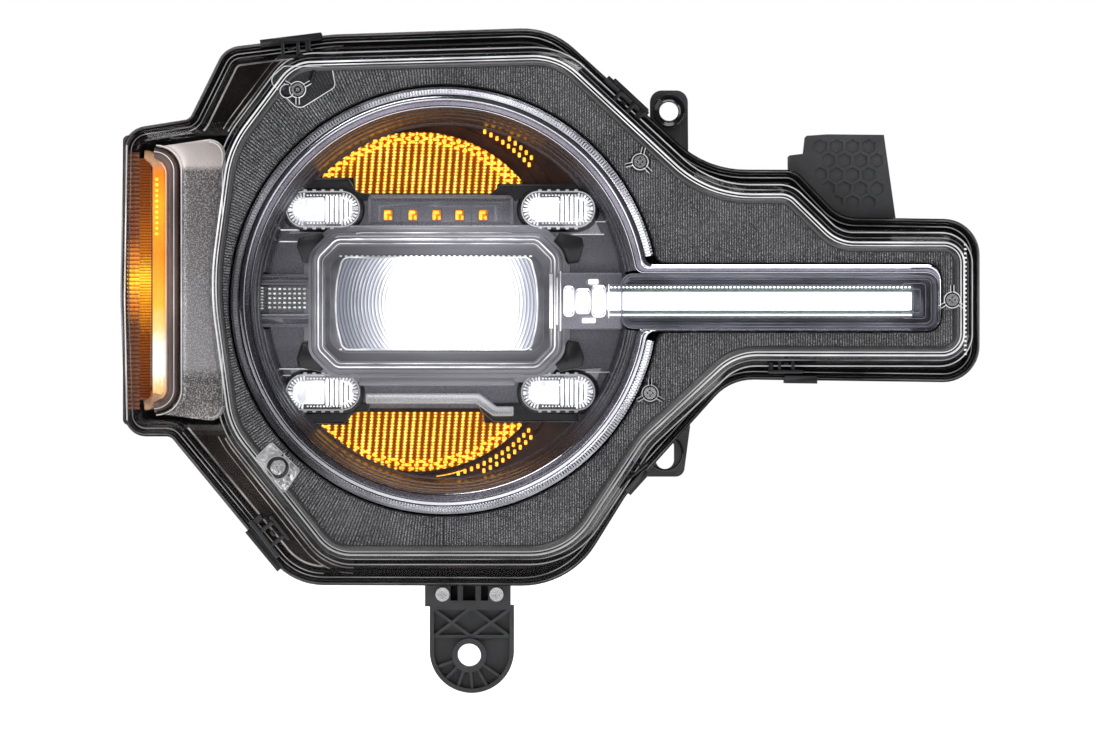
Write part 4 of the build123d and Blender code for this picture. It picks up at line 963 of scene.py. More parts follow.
def flute_material():
    """Lit amber with dark lines between the flutes and between their teeth, by the mesh's UV."""
    n = Nodes("fluted amber")
    flutes = n.node("SeparateXYZ", {0: n.coordinates["UV"]}).node.outputs[:2]
    ridge, tooth = (n.maths("ABSOLUTE", n.maths("SUBTRACT", n.maths("FRACT", uv), 0.5)) for uv in flutes)
    speck = n.noise(0.9, 3.0, (1, 1, 1.6), 0.65)
    shade = n.maths("ADD", n.maths("MULTIPLY", ridge, 1.30), n.maths("MULTIPLY", speck, 0.85))
    shade = n.maths("ADD", shade, n.maths("MULTIPLY", tooth, 0.62))
    shade = n.maths("ADD", shade, n.maths("MULTIPLY", n.noise(26.0, 1.0), 0.25))
    glow = n.stops(
        shade, (0.60, (1.0, 0.97, 0.50)), (0.72, (1.0, 0.80, 0.06)), (0.88, (1.0, 0.48, 0.01)),
        (0.98, (0.22, 0.035, 0.002)), (1.0, (0.05, 0.008, 0.002)),
    )
    return n.done(n.shader(
        Base_Color=n.mixed(0.7, glow, (0.5, 0.15, 0.01)), Roughness=n.scaled(speck, 0.12, 0.3),
        Emission_Color=glow, Emission_Strength=1.3,
    ))


def slanted_limits(side, x):
    """Both ends of the flute that leans past x."""
    ends = []
    for end in (0, 1):
        z = 58.0 * CRESCENTS[side][3]
        for _ in range(5):
            found = crescent_limits(side, x + LEAN * z)
            if not found:
                return None
            z = found[end]
        ends.append(z)
    return ends


AMBER_FLUTES = flute_material()
for side in CRESCENTS:
    signal = Shape()
    previous = None
    for i in range(int((FLUTES_RIGHT - FLUTES_LEFT) / FLUTE * FLUTE_CUTS)):
        x = FLUTES_LEFT + i * FLUTE / FLUTE_CUTS
        limits = slanted_limits(side, x)
        if not limits:
            previous = None
            continue
        crest = math.sin(math.pi * (i % FLUTE_CUTS) / FLUTE_CUTS)
        strip = []
        for j in range(FLUTE_ROWS + 1):
            z = limits[0] + (limits[1] - limits[0]) * j / FLUTE_ROWS
            strip.append((x + LEAN * z, FLUTE_Y - (FLUTE_RISE + TOOTH_RISE * (j % 2)) * crest, z))
        row = signal.add(strip)
        for index, place in zip(row, strip):
            signal.uv[index] = (i / FLUTE_CUTS, place[2] / TOOTH)
        if previous:
            for j in range(FLUTE_ROWS):
                signal.face((previous[j], row[j], row[j + 1], previous[j + 1]))
        previous = row
    signal.piece(
        f"turn_signal_{side}", AMBER_FLUTES, "amber_lens", (f"turn_lens_{side}",), smooth=60
    )
    rim_row = Shape()
    for layer in range(3):
        radius = CRESCENTS[side][2] - 1.4 - 2.0 * layer
        for x, z in crescent_arc(side, radius, 20, 160, 70, range(layer % 2, 70, 2)):
            limits = crescent_limits(side, x)
            if limits and limits[0] + 1.4 < z < limits[1] - 0.6:
                rim_row.bar(x - 1.3, x + 1.3, z - 0.8, z + 0.8, -25.9, -24.2, 0.4, 0.6)
    rim_row.piece(f"turn_signal_rim_{side}", AMBER_GLOW, "amber_lens")

# Accent lights ------------
PILLS = {
    "upper_left": (-67.5, 50.7), "upper_right": (62.5, 50.7),
    "lower_left": (-67.5, -50.6), "lower_right": (62.5, -50.6),
}
for corner_name, (px, pz) in PILLS.items():
    stadium = rectangle(px - 20.3, px + 20.3, pz - 9.9, pz + 9.9, 9.8)
    cover = Shape()
    cover.outline(stadium, [
        (0.0, FOOT_Y), (0.0, -33.6), (-0.5, -34.6), (-1.5, -35.2), (-2.6, -34.6), (-3.0, -34.2),
        (-4.6, -34.9), (-6.8, -35.5), (-9.2, -35.8),
    ], back=True, steps=14)
    cover.piece(
        f"accent_cover_{corner_name}", CLEAR_OPTIC, "clear_optic",
        (f"accent_lens_{corner_name}",),
    )
    core = Shape()
    left, right = px - 16.5, px + 0.6
    core.outline(
        [(left, pz + 6.4, 5.6), (right, pz + 6.6, 0.8), (right, pz - 6.6, 0.8), (left, pz - 6.4, 5.6)],
        [(-1.2, -33.0), (0, -32.0), (0, -24.0)], front=True, steps=10,
    )
    for k in range(6):
        x = px + 2.3 + 2.6 * k
        half = 7.2 * math.sqrt(max(1 - ((x - px - 1) / 17.5) ** 4, 0.1))
        core.rib((x, pz - half), (x, pz + half), -31.6, 1.6, 1.9)
    core.tiles(px - 11.0, pz + 3.4, 0.8, 1.2, (-33.6, -32.0), columns=(9, 1.6))
    core.piece(f"accent_core_{corner_name}", SOFT_GLOW, "clear_optic", smooth=40)
    facets = Shape()
    near, far = rounded(stadium, -4.3, 14), rounded(stadium, -0.9, 14)
    for a, b in list(zip(near, far))[::2]:
        facets.rib(a, b, -32.7, 0.8, 1.0)
    facets.tiles(px - 9.0, pz - 8.1, 1.1, 0.9, (-34.0, -32.6), columns=(11, 1.8), rows=(2, 15.3))
    facets.piece(f"accent_facets_{corner_name}", FACET_GLOW, "clear_optic")
    frame_ring = Shape()
    frame_ring.outline(stadium, [
        (0.4, -22.0), (2.2, -22.2), (2.6, -24.5), (1.6, -27.0), (0.5, -27.4), (0.4, -22.0),
    ], steps=14)
    # Mark 1: a painted highlight line round the cover
    frame_ring.mark = 1
    frame_ring.beads(stadium, (-0.2, -33.8, 0.35))
    notches = {"columns": (5, 5.0), "rows": (2, 20.8)}
    frame_ring.tiles(px - 11.0, pz - 11.1, 2.0, 1.4, (-31.0, -27.0), **notches, edge=0.25, corner=0.4)
    frame_ring.piece(f"accent_rim_{corner_name}", DEEP_BLACK, "gloss_black", more=(EDGE_HIGHLIGHT,))

# Corner panels beside the accent lights
panels = Shape()
for px, pz in PILLS.values():
    side, up = math.copysign(1, px), math.copysign(1, pz)
    corners = [(side * x, up * z) for x, z in ((64.0, 38.5), (86.5, 37.2), (80.0, 52.0), (64.0, 40.5))]
    panels.plate(corners[::int(-side * up)], [], -24.5, -21.0)
panels.piece("corner_panels", LIT_SILVER, "satin_silver")

# Projector ------------
OPTIC_X, OPTIC_Z = -4.7, -1.4
GLASS_Y = -41.0       # the lens's crown
GLASS_BACK_Y = -24.2
CROWN = 170.0         # radius of its face
RING_PITCH = 2.0
inboard_end = [
    (51.5, 25.0, 4.0), (54.6, 12.5, 40.0), (55.5, 0.0, 80.0), (54.6, -12.5, 40.0), (51.5, -25.0, 4.0),
]
OPTIC = [(OPTIC_X + s * x, OPTIC_Z + s * z, r) for s in (1, -1) for x, z, r in inboard_end]


def edge_distance(loop, angle):
    """Distance from the projector lens's centre to a loop at an angle."""
    way = (math.cos(angle), math.sin(angle))
    (_, (x, z)), = crossings([loop], (OPTIC_X, OPTIC_Z), way)
    return math.hypot(x - OPTIC_X, z - OPTIC_Z)


def lens_glow_material():
    """Lit lens: blinding round the beam, glassy with fine rings towards its ends."""
    n = Nodes("lit projector lens")
    streak = n.noise(1.6, stretch=(1, 0.2, 0.08))
    share = n.maths("MULTIPLY", n.distance((4.0, GLASS_Y, -6.0), (1.0, 1.0, 0.55)), 1.0 / 80.0)
    glow = n.stops(
        n.uneven(share, streak, 0.10), (0.0, (1.0, 1.0, 1.0)), (0.40, (0.48, 0.485, 0.50)),
        (0.52, (0.16, 0.165, 0.185)), (0.68, (0.05, 0.053, 0.065)), (1.0, (0.025, 0.027, 0.033)),
    )
    turn = n.maths("FRACT", n.maths("MULTIPLY", n.distance((OPTIC_X, GLASS_Y, OPTIC_Z)), 1.0 / RING_PITCH))
    return n.done(n.shader(
        Base_Color=(0.12, 0.125, 0.135), Roughness=n.scaled(streak, 0.05, 0.14), Coat_Weight=0.6,
        Emission_Color=glow, Emission_Strength=n.maths("MULTIPLY", n.scaled(turn, 0.35, 1.6, 0.15, 1.0), 4.6),
    ))


# Rings of radius and rise of the lens's face, then its rim: growth of the outline and rise
lens_rings = [(0.01, 0.0), (8.0, 0.0), (16.0, 0.0), (23.0, 0.0)]
for k in range(20):
    r = 24.5 + RING_PITCH * k
    lens_rings += [(r, 0.0), (r + 1.5, 0.6), (r + 1.7, 0.0)]
lens_angles = [-math.tau * k / 220 for k in range(220)]
lens_loops = []
for cut, rise in ((-1.2, None), (-0.4, 0.5), (0.0, 1.6), (0.0, 12.0)):
    lens_edge = rounded(OPTIC, cut)
    for r, step in lens_rings if rise is None else [(math.inf, rise)]:
        loop = []
        for a in lens_angles:
            d = min(r, edge_distance(lens_edge, a))
            y = GLASS_Y + d * d / (2 * CROWN) + (step if rise is not None or d == r else 0.0)
            loop.append((OPTIC_X + d * math.cos(a), min(y, GLASS_BACK_Y), OPTIC_Z + d * math.sin(a)))
        lens_loops.append(loop)
lens = Shape()
lens.face(tuple(reversed(lens.loft(lens_loops)[-1])))
lens.piece(
    "projector_glass", lens_glow_material(), "clear_optic", ("projector_lens",), "projector_module", smooth=28
)

HOLDER = rectangle(-63.6, 54.6, -28.8, 25.8, 9.8)
holder = Shape()
holder.outline(HOLDER, eased(-32.5, -12.2, 0.8, 0.2, 0.3, 1.0), steps=10)
holder.plate(rounded(HOLDER, -0.8, 10), [rounded(OPTIC)], -32.5, -31.9)
holder.plate(rounded(rectangle(-67.5, 58.5, -34.5, 31.5, 9.0)), [rounded(HOLDER, -1.2)], -14.4, -13.0)
# Mark 1: painted glints, a line round the lens and small tiles along the holder's top and foot
holder.mark = 1
holder.beads(OPTIC, (0.5, -32.7, 0.5))
holder.tiles(-58.5, 24.3, 1.6, 0.9, (-33.0, -32.3), columns=(36, 3.0), rows=(2, -51.6))
holder.piece("projector_holder", SHROUD, "satin_silver", ("lens_holder",), "projector_module", more=(SPARK,))

# Surround: nested eight-sided steps that open towards the front
EIGHT = [(x, z, 3.0) for x, z in PROJECTOR_HOLE]
surround = Shape()
surround.runs(
    lambda profile: surround.outline(EIGHT, profile, steps=6),
    (0, [(0.0, FOOT_Y), (0.0, -33.4), (0.4, -34.2), (1.7, -34.6)]),
    (1, [(1.9, -38.8)]),
    (0, [(2.6, -39.4), (2.7, -43.4), (3.1, -43.9), (3.8, -44.0), (4.4, -43.4)]),
    (1, [(4.7, -40.2)]),
    (0, [(6.6, -39.2), (7.0, -38.6)]),
    (1, [(7.4, -36.0)]),
    (0, [(9.0, -35.4)]),
    (1, [(9.2, -31.4)]),
    (0, [(11.5, -30.4)]),
    (1, [(12.0, FOOT_Y)]),
)
surround.piece(
    "surround_steps", SHROUD, "gloss_black", ("projector_surround",), smooth=30, more=(STEP,)
)

# Painted glints: lines round the surround's steps and along the blocks beside it
brow = Shape()
brow.beads(EIGHT, (3.2, -44.1, 0.35), (1.2, -34.9, 0.22))
for z, left, right, y in ((33.8, -52.0, 40.0, -44.4), (37.2, -49.0, 37.0, -39.4)):
    ends = [(left, y, z), (left + 4, y - 0.2, z + 0.3), (right - 4, y - 0.2, z + 0.3), (right, y, z)]
    brow.tube(ends, 0.3)
for left, right, z, y in (
    (-92.0, -47.0, 39.4, -26.0), (-92.0, -60.0, 33.0, -24.0), (46.0, 92.0, 44.0, -25.0),
    (62.0, 88.0, 37.0, -24.0), (-95.0, -58.0, -37.6, -26.0), (-92.0, -48.0, -41.2, -25.0),
    (46.0, 92.0, -39.4, -25.0),
):
    brow.tube([(left, y, z), (right, y, z)], 0.28)
brow.piece("surround_highlight_lines", SPARK, "bright_trim")

hood = Shape()
# Brow above the projector and two steps below it: left and right at the top, then at the foot
for left, right, top, wide_left, wide_right, low, radius, profile in (
    (-53.0, 41.0, 41.5, -59.0, 47.0, 34.5, 2.0, eased(-36.6)),
    (-50.0, 41.0, -36.2, -55.0, 46.0, -41.5, 1.5, eased(-38.2, dip=0.3, drop=1.0)),
    (-46.0, 37.0, -42.0, -49.0, 40.0, -47.0, 1.5, eased(-33.2, dip=0.3, drop=1.0)),
):
    corners = ((left, top), (right, top), (wide_right, low), (wide_left, low))
    hood.outline([(x, z, radius) for x, z in corners], profile, front=True, steps=5)
# Low blocks beside the turn signals and the surround's arms, each with a fine painted highlight line round it
LOW_BLOCKS = (
    [(-83.0, 67.6), (-53.5, 67.6), (-49.0, 60.4), (-42.0, 59.0), (-42.0, 55.5), (-84.0, 55.5)],
    [(25.0, 59.2), (31.0, 64.2), (74.0, 64.2), (74.0, 55.5), (25.0, 55.5)],
    [(-84.0, -56.0), (-42.0, -56.0), (-42.0, -60.8), (-51.0, -61.8), (-56.0, -67.8), (-83.0, -67.8)],
    [(18.0, -56.5), (74.0, -56.5), (74.0, -66.8), (27.0, -66.8), (20.0, -61.0)],
)
ARM = ((66.0, 38.6), (78.5, 36.0), (79.5, 31.0), (76.5, 22.0), (70.5, 21.0), (62.0, 33.0))
lined = [([(x, z, 1.0) for x, z in corners], eased(-26.0, cut=0.8, shoulder=0.2), 0.1, -25.4)
         for corners in LOW_BLOCKS]
for side, up in ((-1, -1), (-1, 1), (1, -1), (1, 1)):
    corners = [(side * x - 2.5, up * z - 0.6, 1.2) for x, z in ARM][::side * up]
    lined.append((corners, eased(-32.0), 0.0, -31.2))
for corners, profile, grow, depth in lined:
    hood.mark = 1
    hood.outline(corners, profile, front=True, steps=4)
    hood.mark = 2
    hood.beads(corners, (grow, depth, 0.2))
hood.piece("projector_hood", SHROUD, "gloss_black", smooth=30, more=(DEEP_BLACK, DIM_EDGE_HIGHLIGHT))

# Trim bar with amber windows, and the silver strip ------------
TRIM = [
    (-43.0, 58.6, 3.0), (38.0, 58.6, 3.0), (38.0, 42.2, 3.0), (32.0, 37.0, 3.0), (-37.0, 37.0, 3.0),
    (-43.0, 42.2, 3.0),
]
TRIM_Y = -30.0        # face of the trim bar
WINDOW_Z = 47.5
WINDOWS = (-31.6, -17.9, -4.7, 8.0, 21.0)


def window(x, half_width, half_height, radius):
    """Corners round one of the trim bar's windows."""
    return rectangle(x - half_width, x + half_width, WINDOW_Z - half_height, WINDOW_Z + half_height, radius)


bar = Shape()
bar.outline(TRIM, [(-2.4, TRIM_Y), (-1.2, -29.8), (-0.3, -29.0), (0, -27.8), (0, FOOT_Y)], steps=8)
bar.plate(rounded(TRIM, -2.4, 8), [rounded(window(x, 2.4, 2.9, 0.7), 0, 4) for x in WINDOWS], TRIM_Y, -28.4)
# Mark 1: painted highlight lines round the windows and along the bar's top
bar.mark = 1
for x in WINDOWS:
    bar.beads(window(x, 2.9, 3.4, 1.0), (0, TRIM_Y - 0.1, 0.2))
bar.beads(rectangle(-24.6, 14.5, 41.6, 53.4, 2.0), (0, TRIM_Y - 0.1, 0.2))
for z, radius in ((54.6, 0.22), (56.6, 0.16)):
    bar.tube([(-38.0, TRIM_Y, z), (34.0, TRIM_Y, z)], radius)
bar.piece("trim_bar", DECK, "gloss_black", ("upper_trim_bar",), more=(DIM_EDGE_HIGHLIGHT,))

lamps = Shape()
for i, x in enumerate(WINDOWS):
    z = WINDOW_Z
    lamps.mark = 1
    lamps.bar(x - 2.6, x + 2.6, z - 2.9, z + 2.9, -28.4, -20.5, 0.4, 0.6)
    lamps.mark = 0
    lamps.bar(x - 2.3, x - 0.5, z - 2.6, z + 1.6, -29.2, -28.0, 0.3, 0.4)
    lamps.bar(x - 2.0, x + 1.3, z + 0.7, z + 2.5, -29.5, -28.0, 0.3, 0.5)
    lamps.bar(x + 0.7, x + 2.1, z - 2.6, z - 0.6 + 0.3 * (i % 2), -29.0, -28.0, 0.3, 0.4)
lamps.piece("amber_lamps", AMBER_GLOW, "amber_lens", ("amber_windows",), more=(AMBER_DIM,))

STRIP = [
    (-44.0, -51.2, 1.0), (19.0, -51.2, 2.0), (28.5, -58.3, 2.0), (38.0, -58.3, 1.0), (38.0, -63.8, 1.0),
    (26.5, -63.8, 2.0), (17.0, -56.8, 2.0), (-44.0, -56.8, 1.0),
]
strip = Shape()
strip.outline(
    STRIP, [(-1.6, -30.6), (-0.7, -31.0), (-0.2, -30.5), (0, -29.8), (0, -20.4)], front=True, steps=6
)
# Mark 1: a painted highlight line along the strip's front edge
strip.mark = 1
strip.beads(STRIP, (-0.7, -31.1, 0.22))
strip.piece("silver_strip", LIT_SILVER, "satin_silver", ("lower_trim_bar",), more=(EDGE_HIGHLIGHT,))

# Side optic: small gridded lens in its dark frame ------------
SIDE_FRAME = rectangle(-106.0, -70.8, -14.4, 14.8, 2.0)
SIDE_HOLE = rectangle(-103.9, -72.1, -7.1, 8.7, 1.6)
optic_frame = Shape()
optic_frame.outline(SIDE_FRAME, eased(-33.0, FOOT_Y, 1.2, 0.4, 0.3), steps=6)
optic_frame.plate(rounded(SIDE_FRAME, -1.2, 6), [rounded(SIDE_HOLE, 0, 6)], -33.0, -31.6)
optic_frame.outline(SIDE_HOLE, [(0, -31.6), (0.2, -33.4), (1.0, -33.8), (1.6, -33.2)], steps=6)
# Mark 1: painted highlight lines round the hole and the frame
optic_frame.mark = 1
optic_frame.beads(SIDE_HOLE, (2.4, -33.2, 0.25))
optic_frame.beads(rectangle(-105.0, -71.8, -13.2, 13.6, 1.6), (-0.2, -33.2, 0.2))
optic_frame.piece(
    "side_optic_bezel", DECK, "satin_silver", ("side_optic_frame",), more=(DIM_EDGE_HIGHLIGHT,)
)
CELLS = {"columns": (9, 2.75), "rows": (5, 2.55)}
LADDER = (8, 1.62)
grid = Shape()
grid.bar(-103.4, -72.6, -6.6, 8.2, -33.2, -26.2, 0.6, 1.2)
grid.tiles(-103.2, -4.6, 3.3, 0.9, (-35.6, -33.0), rows=LADDER, edge=0.25)
grid.tiles(-98.0, -4.6, 2.2, 2.0, (-35.6, -33.0), **CELLS, edge=0.5, corner=0.7)
grid.piece("side_optic_grid", CLEAR_OPTIC, "clear_optic", ("side_optic",))
glimmer = Shape()
glimmer.tiles(-97.6, -4.1, 1.4, 1.0, (-34.6, -33.3), **CELLS, edge=0.15, corner=0.2)
glimmer.tiles(-102.8, -4.5, 2.4, 0.7, (-34.8, -33.3), rows=LADDER, edge=0.15, corner=0.2)
glimmer.piece("side_optic_glints", CELL_GLOW, "clear_optic")

# Light bar ------------
BAR_Z = -0.3
COLLARS = ((65.4, 71.5, 8.6), (72.0, 80.4, 7.2), (80.9, 88.7, 9.0))    # left, right, half height


def collar_block(left, right, half):
    return rectangle(left, right, BAR_Z - half, BAR_Z + half, 2.6)


guide = Shape()
guide.bar(89.0, 258.1, BAR_Z - 9.2, BAR_Z + 9.2, -48.6, -38.2, 1.6, 2.0)
guide.piece("light_bar_body", CLEAR_OPTIC, "clear_optic", ("drl_light_guide",))
glow = Shape()
glow.bar(89.4, 257.0, BAR_Z - 5.0, BAR_Z + 5.0, -48.9, -46.0, 0.5, 0.8)
for k in range(134):
    x = 91.0 + 1.24 * k
    glow.rib((x, BAR_Z - 4.6), (x, BAR_Z + 4.6), -48.8, 0.35, 0.9)
glow.tube([(90.0, -49.0, BAR_Z - 7.6), (257.0, -49.0, BAR_Z - 7.6)], 0.45)
glow.tiles(91.0, BAR_Z + 7.2, 1.3, 0.8, (-49.4, -48.0), columns=(76, 2.19), edge=0.15, corner=0.25)
glow.piece("light_bar_glow", WHITE_GLOW, "clear_optic", smooth=30)

collar, bulge = Shape(), Shape()
for left, right, half in COLLARS:
    collar.outline(
        collar_block(left, right, half),
        [(-2.2, -51.6), (-1.2, -51.4), (-0.4, -50.8), (0, -49.6), (0, -37.2)], front=True, back=True, steps=8,
    )
    low, high = BAR_Z - half, BAR_Z + half
    bulge.bar(left + 0.7, right - 0.9, low + 1.7, high - 1.7, -51.9, -48.0, 1.2, 1.8)
    bulge.tiles(left + 1.0, low + 0.5, right - left - 2.0, 0.8, (-51.6, -48.0), rows=(2, 2 * half - 1.8))
for left, right, low, high in ((78.0, 85.5, 8.3, 12.5), (74.5, 84.0, -13.1, -8.9)):
    collar.bar(left, right, low, high, -50.0, -40.0, 1.2, 1.8)
    bulge.bar(left + 1.2, right - 1.0, low + 0.8, high - 0.8, -50.3, -48.0, 0.5, 0.7)
collar.piece("light_bar_collar", CLEAR_OPTIC, "clear_optic", ("drl_collar",), smooth=40)
bulge.piece("collar_glow", WHITE_GLOW, "clear_optic", smooth=40)
# Painted glints: lines round the collars and up the channel's side
rings = Shape()
for block in COLLARS:
    rings.beads(collar_block(*block), (-0.3, -50.9, 0.3))
for x, half, radius in ((58.6, 15.0, 0.9), (62.0, 13.0, 0.4), (63.8, 16.5, 0.35), (90.4, 9.4, 0.3)):
    rings.tube([(x, -45.2, BAR_Z - half), (x, -45.2, BAR_Z + half)], radius)
rings.piece("collar_highlight_lines", SPARK, "bright_trim")
throat = Shape()
throat.outline(rectangle(57.8, 98.0, -15.8, 15.5, 1.5), eased(-44.2, -20.4, 1.2, 0.4), front=True, steps=5)
throat.piece("channel_throat", DECK, "gloss_black")

TRAY = rectangle(97.0, 271.2, -15.6, 15.0, 6.4)
tray = Shape()
tray.outline(TRAY, [
    (0.0, RING_FOOT_Y), (-0.3, -51.4), (-0.9, -50.6), (-1.5, -46.6), (-2.4, -46.2), (-2.8, -43.0),
    (-3.6, -42.6), (-4.0, -37.0),
], steps=10)
tray.plate(rounded(TRAY, -4.0, 10), [], -37.0, -36.2)
for k in range(4):
    for side in (1, -1):
        z = BAR_Z + side * (11.0 + 0.9 * k)
        tray.rib((100.0, z), (262.0 - k, z), -42.0 - 0.6 * k, 0.5, 0.8)
tray.bar(258.4, 264.5, BAR_Z - 9.0, BAR_Z + 9.0, -40.0, -37.0, 0.4, 0.8)
# Mark 1: painted highlight lines along the tray's steps and round its end
tray.mark = 1
tray.beads(TRAY, (-1.2, -48.6, 0.2), (-3.1, -44.6, 0.2))
tray.beads(rectangle(252.0, 265.0, -9.8, 9.6, 2.0), (0, -44.0, 0.25))
tray.beads(rectangle(252.0, 262.0, -6.6, 6.4, 1.0), (0, -44.0, 0.2))
tray.piece("channel_tray", CHANNEL, "gloss_black", ("drl_tray",), more=(DIM_EDGE_HIGHLIGHT,))

# Side marker ------------
MARK_LEFT = -230.0    # outboard of the lamp, where swept_back cuts
INNER_EDGE = rectangle(MARK_LEFT, -145.6, -62.0, 84.5, 13.0)
OUTER_EDGE = rectangle(MARK_LEFT, -120.5, -66.0, 88.8, 9.0)


def swept_back(shape, left):
    """Lean a shape back with the lens's flank and cut it off at the lamp's side."""
    shape.points = [(x, y + max(0.0, -161.0 - x) * 0.95, z) for x, y, z in shape.points]
    shape.trim(lambda x, y, z: x > left)


def finned(shape, section, bottom, top, count, relief):
    """Sheet across a section of x and y pairs, with teeth up its height."""
    shape.loft([
        [(x, y - relief * (k % 2), bottom + (top - bottom) * k / (2 * count)) for k in range(2 * count + 1)]
        for x, y in section
    ], open_ends=True)


face = Shape()
face_edges = list(zip(rounded(INNER_EDGE), rounded(OUTER_EDGE)))
face.loft([
    [(a[0] + (b[0] - a[0]) * t, y, a[1] + (b[1] - a[1]) * t) for a, b in face_edges]
    for t, y in (
        (0.0, -42.0), (0.0, -46.8), (0.03, -48.6), (0.10, -50.2), (0.22, -51.0), (0.40, -50.9), (0.95, -50.6),
        (1.0, -50.0), (1.0, -47.0),
    )
])
swept_back(face, -170.5)
face.piece("marker_face", POD_SILVER, "satin_silver", ("marker_bezel",), smooth=50)
smoke = Shape()
smoke.beads(rectangle(MARK_LEFT, -149.8, -58.4, 81.0, 10.0), (0, -44.6, 3.4))
swept_back(smoke, -169.0)
smoke.piece("marker_smoke", SMOKE_TUBE, "smoke", ("marker_frame",), smooth=60)
pipe = Shape()
pipe.bar(-161.0, -154.2, -56.0, 79.0, -45.6, -38.0, 2.4, 3.2)
pipe.piece("marker_pipe", PIPE_GLOW, "amber_lens", ("marker_light_pipe",))
dots = Shape()
dots.tiles(-159.4, 66.0, 1.8, 1.7, (-46.3, -45.0), rows=(11, -3.0), edge=0.3, corner=0.6)
dots.piece("marker_dots", AMBER_GLOW, "amber_lens")

fins = Shape()
finned(
    fins, ((-162.0, -35.4), (-162.1, -41.2), (-165.2, -41.6), (-168.3, -41.0), (-168.5, -35.4)),
    -54.5, 78.5, 86, 0.9,
)
fins.mark = 1
finned(
    fins, ((-168.5, -38.6), (-171.0, -37.6), (-173.5, -35.6), (-175.6, -34.0), (-177.2, -32.8)),
    -60.0, 82.0, 60, 0.6,
)
fins.piece(
    "marker_fins", FIN_AMBER, "amber_lens", ("marker_inner_lens",), smooth=20, more=(FIN_DARK,)
)
shoulder = Shape()
shoulder.beads(rectangle(MARK_LEFT, -157.6, -57.2, 79.8, 8.0), (0, -43.4, 3.3))
swept_back(shoulder, -173.0)
shoulder.trim(lambda x, y, z: not -51.0 < z < 74.0)
shoulder.piece("marker_shoulder", SHOULDER, "amber_lens", smooth=60)
shadow = Shape()
shadow.beads(rectangle(MARK_LEFT, -161.4, -53.0, 77.5, 7.0), (0, -42.0, 0.45))
swept_back(shadow, -168.0)
shadow.piece("marker_shadow_line", NIGHT_BLUE, "clear_lens")
# Painted highlights: bright lines along the marker's edges and the lens's flank
marker_highlight_lines = Shape()
marker_highlight_lines.beads(INNER_EDGE, (0.9, -49.8, 0.35))
marker_highlight_lines.beads(OUTER_EDGE, (-1.6, -51.0, 0.3))
marker_highlight_lines.beads(rectangle(MARK_LEFT, -149.0, -59.5, 82.0, 11.0), (0, -48.0, 0.25))
marker_highlight_lines.beads(rectangle(MARK_LEFT, -153.4, -55.0, 77.6, 8.0), (0, -45.8, 0.25))
swept_back(marker_highlight_lines, -170.0)
marker_highlight_lines.tube([(-175.4, -38.0, -66.0), (-176.8, -38.0, 2.0), (-175.6, -38.0, 86.0)], 0.4)
marker_highlight_lines.piece("marker_highlight_lines", EDGE_HIGHLIGHT, "clear_lens")

# Bosses over the bezel's screws ------------
STUD = (-86.5, 115.0)


def arms(turn):
    """Cosine and sine of a boss's three arms, the first at turn degrees."""
    angles = [math.radians(turn) + math.tau * k / 3 for k in range(3)]
    return [(math.cos(a), math.sin(a)) for a in angles]


def seated(*profile):
    """Profile from pairs of radius and height above the bosses' seat."""
    return [(radius, SEAT_Y - height) for radius, height in profile]


boss, heads = Shape(), Shape()
for x, z, turn in BOSSES:
    boss.lathe(x, z, seated((4.6, 0), (4.6, 1.3), (4.1, 1.9), (3.3, 1.9), (2.9, 1.2), (2.7, 0)), 32)
    boss.lathe(x, z, seated((2.4, 0), (2.4, 1.6), (1.9, 2.2), (1.3, 2.2), (1.0, 1.4)), 24)
    for c, s in arms(turn):
        boss.tube([(x + r * c, SEAT_Y - drop, z + r * s) for r, drop in ((3.6, 1.2), (8.0, 1.0))], 0.9, 8)
    heads.lathe(x, z, seated((3.4, 0.1), (3.3, 0.5), (2.5, 0.7), (0.01, 0.8)), 24)
boss.lathe(*STUD, seated((3.8, 0), (3.8, 1.5), (3.3, 2.0), (2.6, 1.8), (2.3, 0.4)), 28)
boss.tube([(-73.5, -54.6, 121.0), (-71.6, -54.6, 126.0)], 1.3, 10)
# Mark 1: painted highlight lines round the bosses and along their arms
boss.mark = 1
for x, z, radius in [(x, z, r) for x, z, _ in BOSSES for r in (4.4, 2.3)] + [(*STUD, 3.7)]:
    boss.lathe(x, z, round_section(radius, -55.1, 0.3), 32, closed=True)
for x, z, turn in BOSSES:
    for c, s in arms(turn):
        for off in (-0.9, 0.9):
            boss.tube([(x + r * c - off * s, -55.0, z + r * s + off * c) for r in (4.5, 8.2)], 0.22, 6)
boss.piece("bezel_bosses", GLOSS_BLACK, "charcoal_bezel", more=(EDGE_HIGHLIGHT,))
heads.piece("bezel_screw_heads", STEEL, "screw_steel")

POCKET = [
    (-96.5, 121.0, 4.0), (-88.0, 128.6, 3.0), (-62.0, 128.2, 3.0), (-60.0, 117.5, 3.0), (-80.0, 105.0, 5.0),
]
PLATE = [(-95.0, -77.5, 2.0), (-79.0, -93.2, 2.0), (-88.0, -106.5, 2.0), (-104.5, -87.0, 2.0)]
CAP = (-91.5, -91.8)
pocket = Shape()
pocket.plate(rounded(POCKET, 0, 6), [], -53.9, -53.0)
